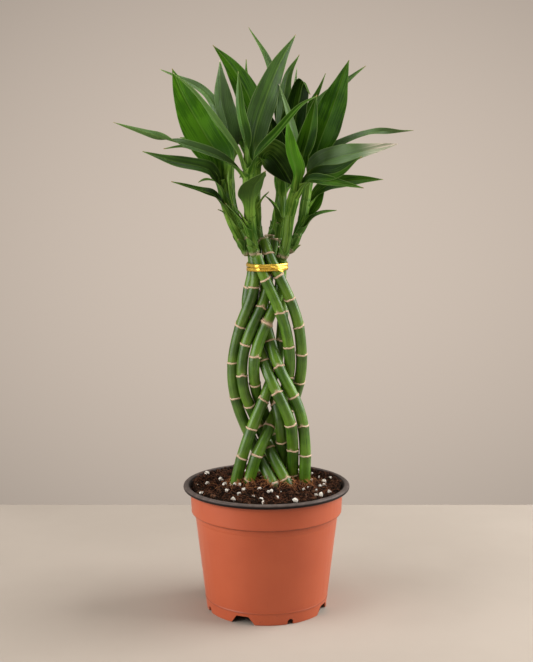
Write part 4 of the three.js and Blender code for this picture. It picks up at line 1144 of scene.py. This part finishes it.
def make_shoot(index, shoot, routes, material):
    draw = random.Random(SHOOT_SEED + index)
    cane = CANES[shoot["cane"]]
    seat = level_point(routes[shoot["cane"]], cane["route"][0][2] - 6)
    stem = [seat] + [Vector(p) for p in shoot["axis"]]
    girth = shoot["girth"]
    skin = Skin(**LEAF_VALUES)
    loops = []
    for place in evenly(0, len(STEM_RADII) - 1, STEM_STEPS):
        along = way_along(stem, place)
        across = square_to(along, RIGHT)
        other = along.cross(across)
        # A collar of callus and ragged dry scales stands where the shoot leaves its cane
        collar = 0.8 * bell(place - 0.95, 0.16)
        ragged = bell(place - 0.84, 0.12)
        loop = []
        for angle in turns(STEM_SIDES):
            rough = noise.noise(polar(2, angle, place * 3 + index * 5))
            r = stem_radius(place, girth) + collar + (0.12 + 1.1 * ragged) * rough
            loop.append(skin.point(
                through(stem, place) + across * (r * math.cos(angle)) + other * (r * math.sin(angle)),
                blade=(r * angle, place * 17, 0), shade=0.4, bloom=0.25, under=0, sheath=1, margin=5,
                dry=0.95 * ragged))
        loops.append(loop)
    skin.tube(loops)
    skin.ends(loops)
    for number, leaf in enumerate(shoot["leaves"]):
        rows = leaf_rows(shoot, stem, leaf, draw)
        # A leaf's shade is partly its age and partly painted shade, set higher for leaves deep in the crown
        shade = min(max(leaf["shade"] + draw.uniform(-0.05, 0.05), 0), 1)
        add_blade(skin, rows, shade, leaf.get("bloom", 0.02), number + index * 8,
                  leaf.get("dry", draw.uniform(0.012, 0.03)))
    for number in range(SCALES_PER_SHOOT):
        place = 1.0 + 0.3 * number + draw.uniform(-0.05, 0.05)
        rows = scale_rows(stem, girth, place, draw.uniform(0, TURN), draw.uniform(6, 11))
        add_blade(skin, rows, 0.5, 0.15, 90 + number + index * 8, 0.3)
    piece = skin.piece(shoot["name"] + "_leaves", [material])
    dress(piece, "leaf", shoot["name"])


# Tie

def hull(points):
    """The convex outline round flat points, counter-clockwise."""
    ordered = sorted(set(points))

    def half(listed):
        chain = []
        for p in listed:
            while len(chain) > 1 and ((chain[-1][0] - chain[-2][0]) * (p[1] - chain[-2][1])
                                      - (chain[-1][1] - chain[-2][1]) * (p[0] - chain[-2][0])) <= 0:
                chain.pop()
            chain.append(p)
        return chain[:-1]

    return half(ordered) + half(ordered[::-1])


def bundle_outline(routes, z, margin):
    """Points evenly spaced round all the canes at a height, margin away from them."""
    radius = cane_radius(z) + margin
    middles = [level_point(levels, z) for levels in routes]
    ring = hull([(m.x + radius * math.cos(angle), m.y + radius * math.sin(angle))
                 for m in middles for angle in turns(TIE_CORNERS)])
    ring = [Vector((x, y, z)) for x, y in ring]
    return even_line(ring + ring[:1], TIE_POINTS)[:-1]


def add_ribbon(skin, path, ups, width, thick, closed, seed):
    """A crinkled foil ribbon along a path, with a raised wire down its middle."""
    section = [(-0.5, 0), (-0.32, 0.5), (-0.12, 0.55), (0, 1.05), (0.12, 0.55), (0.32, 0.5), (0.5, 0),
               (0.3, -0.45), (0, -0.5), (-0.3, -0.45)]
    loops = []
    count = len(path)
    for i, p in enumerate(path):
        ahead = path[(i + 1) % count] if closed else path[min(i + 1, count - 1)]
        behind = path[i - 1] if closed else path[max(i - 1, 0)]
        along = (ahead - behind).normalized()
        up = square_to(along, ups[i])
        out = along.cross(up)
        loop = []
        for across, off in section:
            spot = Vector((p.x, p.y, p.z + across * width))
            crease = 0.2 * noise.noise(spot * 0.9 + Vector((seed, 0, 0)))
            fine = 0.08 * noise.noise(spot * 2.3 + Vector((0, seed, 0)))
            loop.append(skin.point(p + up * (across * width * (1 + crease))
                                   + out * (off * thick + crease + fine)))
        loops.append(loop[::-1])
    if closed:
        skin.tube(loops + loops[:1])
    else:
        skin.tube(loops)
        skin.ends(loops)


def make_tie(routes, foil):
    """Three windings of ribbon round the canes, and its two ends twisted together in front."""
    skin = Skin()
    windings = [dict(height=344.3, tilt=0.8, phase=0.4, width=3.6, margin=1.05),
                dict(height=339.9, tilt=0.7, phase=2.2, width=3.6, margin=1.0),
                dict(height=342.2, tilt=1.6, phase=4.1, width=3.2, margin=1.45)]
    for number, wind in enumerate(windings):
        path = [p + UP * (wind["tilt"] * math.sin(math.atan2(p.y, p.x) + wind["phase"]))
                for p in bundle_outline(routes, wind["height"], wind["margin"])]
        add_ribbon(skin, path, [UP] * TIE_POINTS, wind["width"], 0.42, True, number * 11)
    front = bundle_outline(routes, TIE_CENTRE, 2.4)
    knot = min(front, key=lambda p: (p - TIE_TWIST_PLACE).length)
    for number, start in enumerate((0, math.pi)):
        path, ups = [], []
        for f in evenly(0, 1, TIE_TWIST_STEPS):
            swirl = start + TURN * TIE_TWISTS * min(f / TIE_TWISTED_SHARE, 1)
            spread = 0.9 + 7 * max(f - TIE_TWISTED_SHARE, 0)
            base = knot + Vector((11 * f - 3, 0.8 - 1.0 * f, 1.4 - 4.6 * f))
            path.append(base + Vector((0, math.cos(swirl), math.sin(swirl))) * spread)
            ups.append(Vector((0, -math.sin(swirl), math.cos(swirl))))
        add_ribbon(skin, path, ups, 2.6, 0.3, False, 40 + number * 9)
    piece = skin.piece("gold_twist_tie", [foil])
    dress(piece, "gold_foil", "tie")


# Soil

def soil_height(x, y):
    away = math.hypot(x, y - SOIL_MOUND_BACK) / SOIL_MOUND_RADIUS
    mound = SOIL_MOUND * math.exp(-away * away)
    lumps = (math.sin(x * 0.31 + y * 0.17) * math.cos(y * 0.27 - x * 0.11)
             + 0.7 * math.sin(x * 0.53 - y * 0.49 + 1.3))
    return SOIL_EDGE_HEIGHT + mound + SOIL_LUMP * lumps * 0.6


def crumbly_height(x, y):
    """The soil's height with its clods, crumbs and grains, heaped a little against the wall."""
    p = Vector((x, y, 0))
    clods = noise.noise(p * 0.13) * 1.8
    crumbs = abs(noise.noise(p * 0.36 + Vector((7, 0, 3)))) * 3.4 - 0.8
    grains = abs(noise.noise(p * 0.9 + Vector((0, 9, 5)))) * 1.4 - 0.3
    heaped = 1.9 * smooth((math.hypot(x, y) - 58) / 14)
    return soil_height(x, y) + clods + crumbs + grains + heaped


def make_soil(peat):
    skin = Skin()
    floor = FOOT_HEIGHT + FLOOR_THICKNESS + GAP
    wall = [(pot_wall_radius(z) - WALL - GAP, z) for z in (floor, COLLAR_BOTTOM)]
    wall += [(SOIL_EDGE_RADIUS, COLLAR_BOTTOM + 3), (SOIL_EDGE_RADIUS + 0.3, SOIL_EDGE_HEIGHT - 5)]
    loops = [skin.ring(r, SOIL_SEGMENTS, z) for r, z in wall]
    loops += [skin.ring((SOIL_EDGE_RADIUS + 0.5) * i / SOIL_RINGS, SOIL_SEGMENTS, crumbly_height)
              for i in range(SOIL_RINGS, 0, -1)]
    skin.tube(loops)
    skin.ends(loops)
    dress(skin.piece("soil_plug", [peat]), "potting_soil", "soil")


def soil_patch():
    """The soil's upper face alone, to scatter on. The bits replace it."""
    skin = Skin()
    skin.tube([skin.ring((SOIL_EDGE_RADIUS + 0.4) * i / PATCH_RINGS, PATCH_SEGMENTS, crumbly_height)
               for i in range(PATCH_RINGS, 0, -1)])
    return skin


def scatter_tree(name, strand):
    """Geometry Nodes that strew grains, or short curved strands, over a surface."""
    tree = bpy.data.node_groups.new(name, "GeometryNodeTree")
    face = tree.interface
    for label, kind in (("Surface", "Geometry"), ("Per square metre", "Float"), ("Smallest", "Float"),
                        ("Largest", "Float"), ("Flatness", "Float"), ("Roughness", "Float"),
                        ("Lift", "Float"), ("Facets", "Int"), ("Seed", "Int"), ("Finish", "Material")):
        face.new_socket(label, in_out="INPUT", socket_type="NodeSocket" + kind)
    face.new_socket("Pieces", in_out="OUTPUT", socket_type="NodeSocketGeometry")
    given = add(tree, "NodeGroupInput").outputs
    spots = add(tree, "GeometryNodeDistributePointsOnFaces", {
        "Mesh": given["Surface"], "Density": given["Per square metre"], "Seed": given["Seed"]})
    # Strands lie nearly flat, and grains lie any way up
    lean = 0.5 if strand else 3.14
    turn = add(tree, "FunctionNodeRandomValue", {
        "Min": (-lean, -lean, -3.14), "Max": (lean, lean, 3.14), "Seed": given["Seed"]},
        data_type="FLOAT_VECTOR")
    size = add(tree, "FunctionNodeRandomValue", {2: given["Smallest"], 3: given["Largest"], "Seed": 5},
               data_type="FLOAT")
    if strand:
        bend = add(tree, "GeometryNodeCurveQuadraticBezier", {
            "Resolution": 7, "Start": (-1, 0, -0.25), "Middle": (0, 0.5, 0.9), "End": (1, 0, -0.2)})
        ring = add(tree, "GeometryNodeCurvePrimitiveCircle", {"Resolution": 4, "Radius": given["Flatness"]})
        shape = add(tree, "GeometryNodeCurveToMesh", {
            "Curve": bend, "Profile Curve": ring, "Fill Caps": True})
    else:
        ball = add(tree, "GeometryNodeMeshIcoSphere", {"Radius": 1, "Subdivisions": given["Facets"]})
        squash = add(tree, "ShaderNodeCombineXYZ", {0: 1.0, 1: 0.8, 2: given["Flatness"]})
        shape = add(tree, "GeometryNodeTransform", {"Geometry": ball, "Scale": squash})
    placed = add(tree, "GeometryNodeInstanceOnPoints", {
        "Points": spots, "Instance": shape, "Rotation": turn, "Scale": size})
    made = add(tree, "GeometryNodeRealizeInstances", {0: placed})
    # Each bit is roughened by noise about 2.4 mm across and lifted out of the soil
    where = add(tree, "GeometryNodeInputPosition")
    rough = add(tree, "ShaderNodeTexNoise", {"Vector": where, "Scale": 420, "Detail": 2}).outputs["Color"]
    centred = add(tree, "ShaderNodeVectorMath", {0: rough, 1: (0.5, 0.5, 0.5)}, operation="SUBTRACT")
    shift = add(tree, "ShaderNodeVectorMath", {0: centred, 3: given["Roughness"]}, operation="SCALE")
    lift = add(tree, "ShaderNodeCombineXYZ", {2: given["Lift"]})
    moved = add(tree, "ShaderNodeVectorMath", {0: shift, 1: lift}, operation="ADD")
    bent = add(tree, "GeometryNodeSetPosition", {"Geometry": made, "Offset": moved})
    finished = add(tree, "GeometryNodeSetMaterial", {"Geometry": bent, "Material": given["Finish"]})
    add(tree, "NodeGroupOutput", {"Pieces": finished})
    return tree


def strew(name, tree, finish, sizes):
    """Strews one kind of bit over the soil and makes it a plain mesh."""
    piece = soil_patch().piece(name, [])
    work = piece.modifiers.new("strew", "NODES")
    work.node_group = tree
    sockets = {item.name: item.identifier for item in tree.interface.items_tree if item.in_out == "INPUT"}
    work[sockets["Finish"]] = finish
    for label, value in sizes.items():
        work[sockets[label]] = value
    plain_mesh(piece)
    dress(piece, "potting_soil")


def strew_bits():
    """Crumbs, bark, perlite and coir. Sizes are in metres, and their grain is 1 to 2 mm across."""
    grains = scatter_tree("strewn_grains", strand=False)
    strands = scatter_tree("strewn_strands", strand=True)
    labels = ("Per square metre", "Smallest", "Largest", "Flatness", "Roughness", "Lift", "Facets", "Seed")
    for name, tree, look, sizes in (
            ("soil_crumbs", grains, ("peat_crumb", "#030202", "#3a281c", 700, 0.9, 0.0005),
             (90000, 0.0006, 0.0021, 0.7, 0.0016, 0.0003, 1, 3)),
            ("bark_bits", grains, ("pine_bark_chip", "#1a110b", "#664632", 500, 0.85, 0.0004),
             (9000, 0.0012, 0.0036, 0.3, 0.0018, 0.0005, 2, 8)),
            ("perlite_grains", grains, ("expanded_perlite", "#d6cec0", "#f8f4ea", 900, 0.8, 0.0004),
             (2700, 0.0008, 0.003, 0.8, 0.0038, 0.0014, 2, 5)),
            ("coir_fibres", strands, ("coir_fibre", "#341b10", "#84543a", 600, 0.75, 0.0002),
             (60000, 0.0015, 0.0068, 0.026, 0.0018, 0.0012, 1, 21))):
        strew(name, tree, speckled(*look), dict(zip(labels, sizes)))


def add_root(skin, draw, start, heading, length, rise, radius):
    """One thin root that wanders away from its start, arches and dives into the soil."""
    loops = []
    place = start.copy()
    bow = draw.uniform(-0.4, 0.4)
    for f in evenly(0, 1, ROOT_STEPS):
        heading += bow / 3 + draw.uniform(-0.16, 0.16)
        place = place + polar(1, heading) * (length / ROOT_STEPS)
        lift = lerp(start.z, -1.2, f ** 0.8) + rise * math.sin(math.pi * f)
        middle = Vector((place.x, place.y, soil_height(place.x, place.y) + lift))
        across = Vector((-math.sin(heading), math.cos(heading), 0))
        r = radius * (1 - 0.5 * f)
        loop = [skin.point(middle + across * (r * math.cos(angle)) + UP * (r * math.sin(angle)))
                for angle in turns(ROOT_SIDES)]
        loops.append(loop[::-1])
    skin.tube(loops)
    skin.ends(loops)


def make_roots(routes, material):
    """Feeder roots: some leave the canes' feet and dive, and others arch out of the soil near them."""
    draw = random.Random(ROOT_SEED)
    skin = Skin()
    feet = [level_point(levels, SOIL_EDGE_HEIGHT + 6) for levels in routes]
    for foot in feet:
        foot.z = 0
        for _ in range(ROOTS_PER_FOOT):
            angle = draw.uniform(0, TURN)
            start = foot + polar(5, angle, draw.uniform(0.5, 7.5))
            add_root(skin, draw, start, angle + draw.uniform(-0.9, 0.9), draw.uniform(6, 18),
                     draw.uniform(0, 3), draw.uniform(0.16, 0.42))
    for _ in range(LOOSE_ROOTS):
        foot = draw.choice(feet)
        angle = draw.uniform(0, TURN)
        start = foot + polar(draw.uniform(6, 20), angle, -1.0)
        add_root(skin, draw, start, angle + draw.uniform(-1.3, 1.3), draw.uniform(8, 22),
                 draw.uniform(2.5, 5.5), draw.uniform(0.13, 0.3))
    dress(skin.piece("feeder_roots", [material]), "potting_soil")


# Camera, light and floor

def set_camera(scene):
    lens = bpy.data.cameras.new("camera")
    lens.sensor_fit = "AUTO"
    lens.sensor_width = SENSOR
    lens.lens = FOCAL_PIXELS / PHOTO_HEIGHT * SENSOR
    camera = bpy.data.objects.new("camera", lens)
    camera.location = Vector((0, -CAMERA_BACK, CAMERA_HEIGHT)) * MM
    camera.rotation_euler = (math.radians(90 - CAMERA_DOWN), 0, 0)
    scene.collection.objects.link(camera)
    scene.camera = camera


def set_backdrop(scene):
    world = bpy.data.worlds.new("studio")
    world.use_nodes = True
    tree = world.node_tree
    tree.nodes.clear()
    # The backdrop is brightest a little above the plant's middle and falls off to all sides
    way = add(tree, "ShaderNodeTexCoord").outputs["Generated"]
    off = add(tree, "ShaderNodeVectorMath", {0: way, 1: (0.03, 0.0, -0.047)}, operation="SUBTRACT")
    flat = add(tree, "ShaderNodeVectorMath", {0: off, 1: (1.41, 0.0, 2.0)}, operation="MULTIPLY")
    fall = add(tree, "ShaderNodeVectorMath", {0: flat, 1: flat}, operation="DOT_PRODUCT").outputs["Value"]
    glow = add(tree, "ShaderNodeMath", {0: fall, 1: -1.14, 2: 1.14}, operation="MULTIPLY_ADD")
    least = add(tree, "ShaderNodeMath", {0: glow, 1: BACKDROP_LEAST}, operation="MAXIMUM")
    # It is as bright as the photograph's, but the lamps light the plant more than it does
    seen = add(tree, "ShaderNodeLightPath").outputs["Is Camera Ray"]
    bright = add(tree, "ShaderNodeMapRange", {0: seen, 1: 0.0, 2: 1.0, 3: BACKDROP_LIGHT, 4: least})
    wall = add(tree, "ShaderNodeBackground", {"Color": "#c3b5a8", "Strength": bright})
    add(tree, "ShaderNodeOutputWorld", {"Surface": wall})
    scene.world = world


def set_the_stage():
    scene = bpy.context.scene
    set_camera(scene)
    set_backdrop(scene)
    skin = Skin()
    skin.face([skin.point(Vector((x, y, 0))) for x, y in (
        (-FLOOR_SIDE, -FLOOR_FRONT), (FLOOR_SIDE, -FLOOR_FRONT), (FLOOR_SIDE, FLOOR_BACK),
        (-FLOOR_SIDE, FLOOR_BACK))])
    matt = speckled("matt_studio_floor", "#aea397", "#b2a79b", 6, 0.8, 0.0001)
    floor = skin.piece("studio_floor", [matt])
    for name, place, aim_height, size, power in (
            ("soft_left", (-1250, -550, 620), 260, 1300, 23),
            ("soft_right", (1250, 100, 850), 260, 1300, 34),
            ("soft_top", (0, -100, 1600), 300, 900, 8)):
        lamp = bpy.data.lights.new(name, "AREA")
        lamp.shape = "SQUARE"
        lamp.size = size * MM
        lamp.energy = power
        light = bpy.data.objects.new(name, lamp)
        light.location = Vector(place) * MM
        light.rotation_euler = (UP * aim_height - Vector(place)).to_track_quat("-Z", "Y").to_euler()
        scene.collection.objects.link(light)
    scene.view_settings.view_transform = "Standard"


# The whole plant

set_the_stage()
routes = settle_canes()
make_pot(moulded_polypropylene(), black_polypropylene())
make_soil(peat_mix())
strew_bits()
make_roots(routes, speckled("feeder_root", "#6e3c22", "#bc8252", 500, 0.6, 0.0002))
cut_face = cut_cane()
for number, cane in enumerate(CANES):
    make_cane(number, cane, routes[number], cut_face)
make_tie(routes, gold_foil())
blade_finish = leaf_blade()
for number, shoot in enumerate(SHOOTS):
    make_shoot(number, shoot, routes, blade_finish)
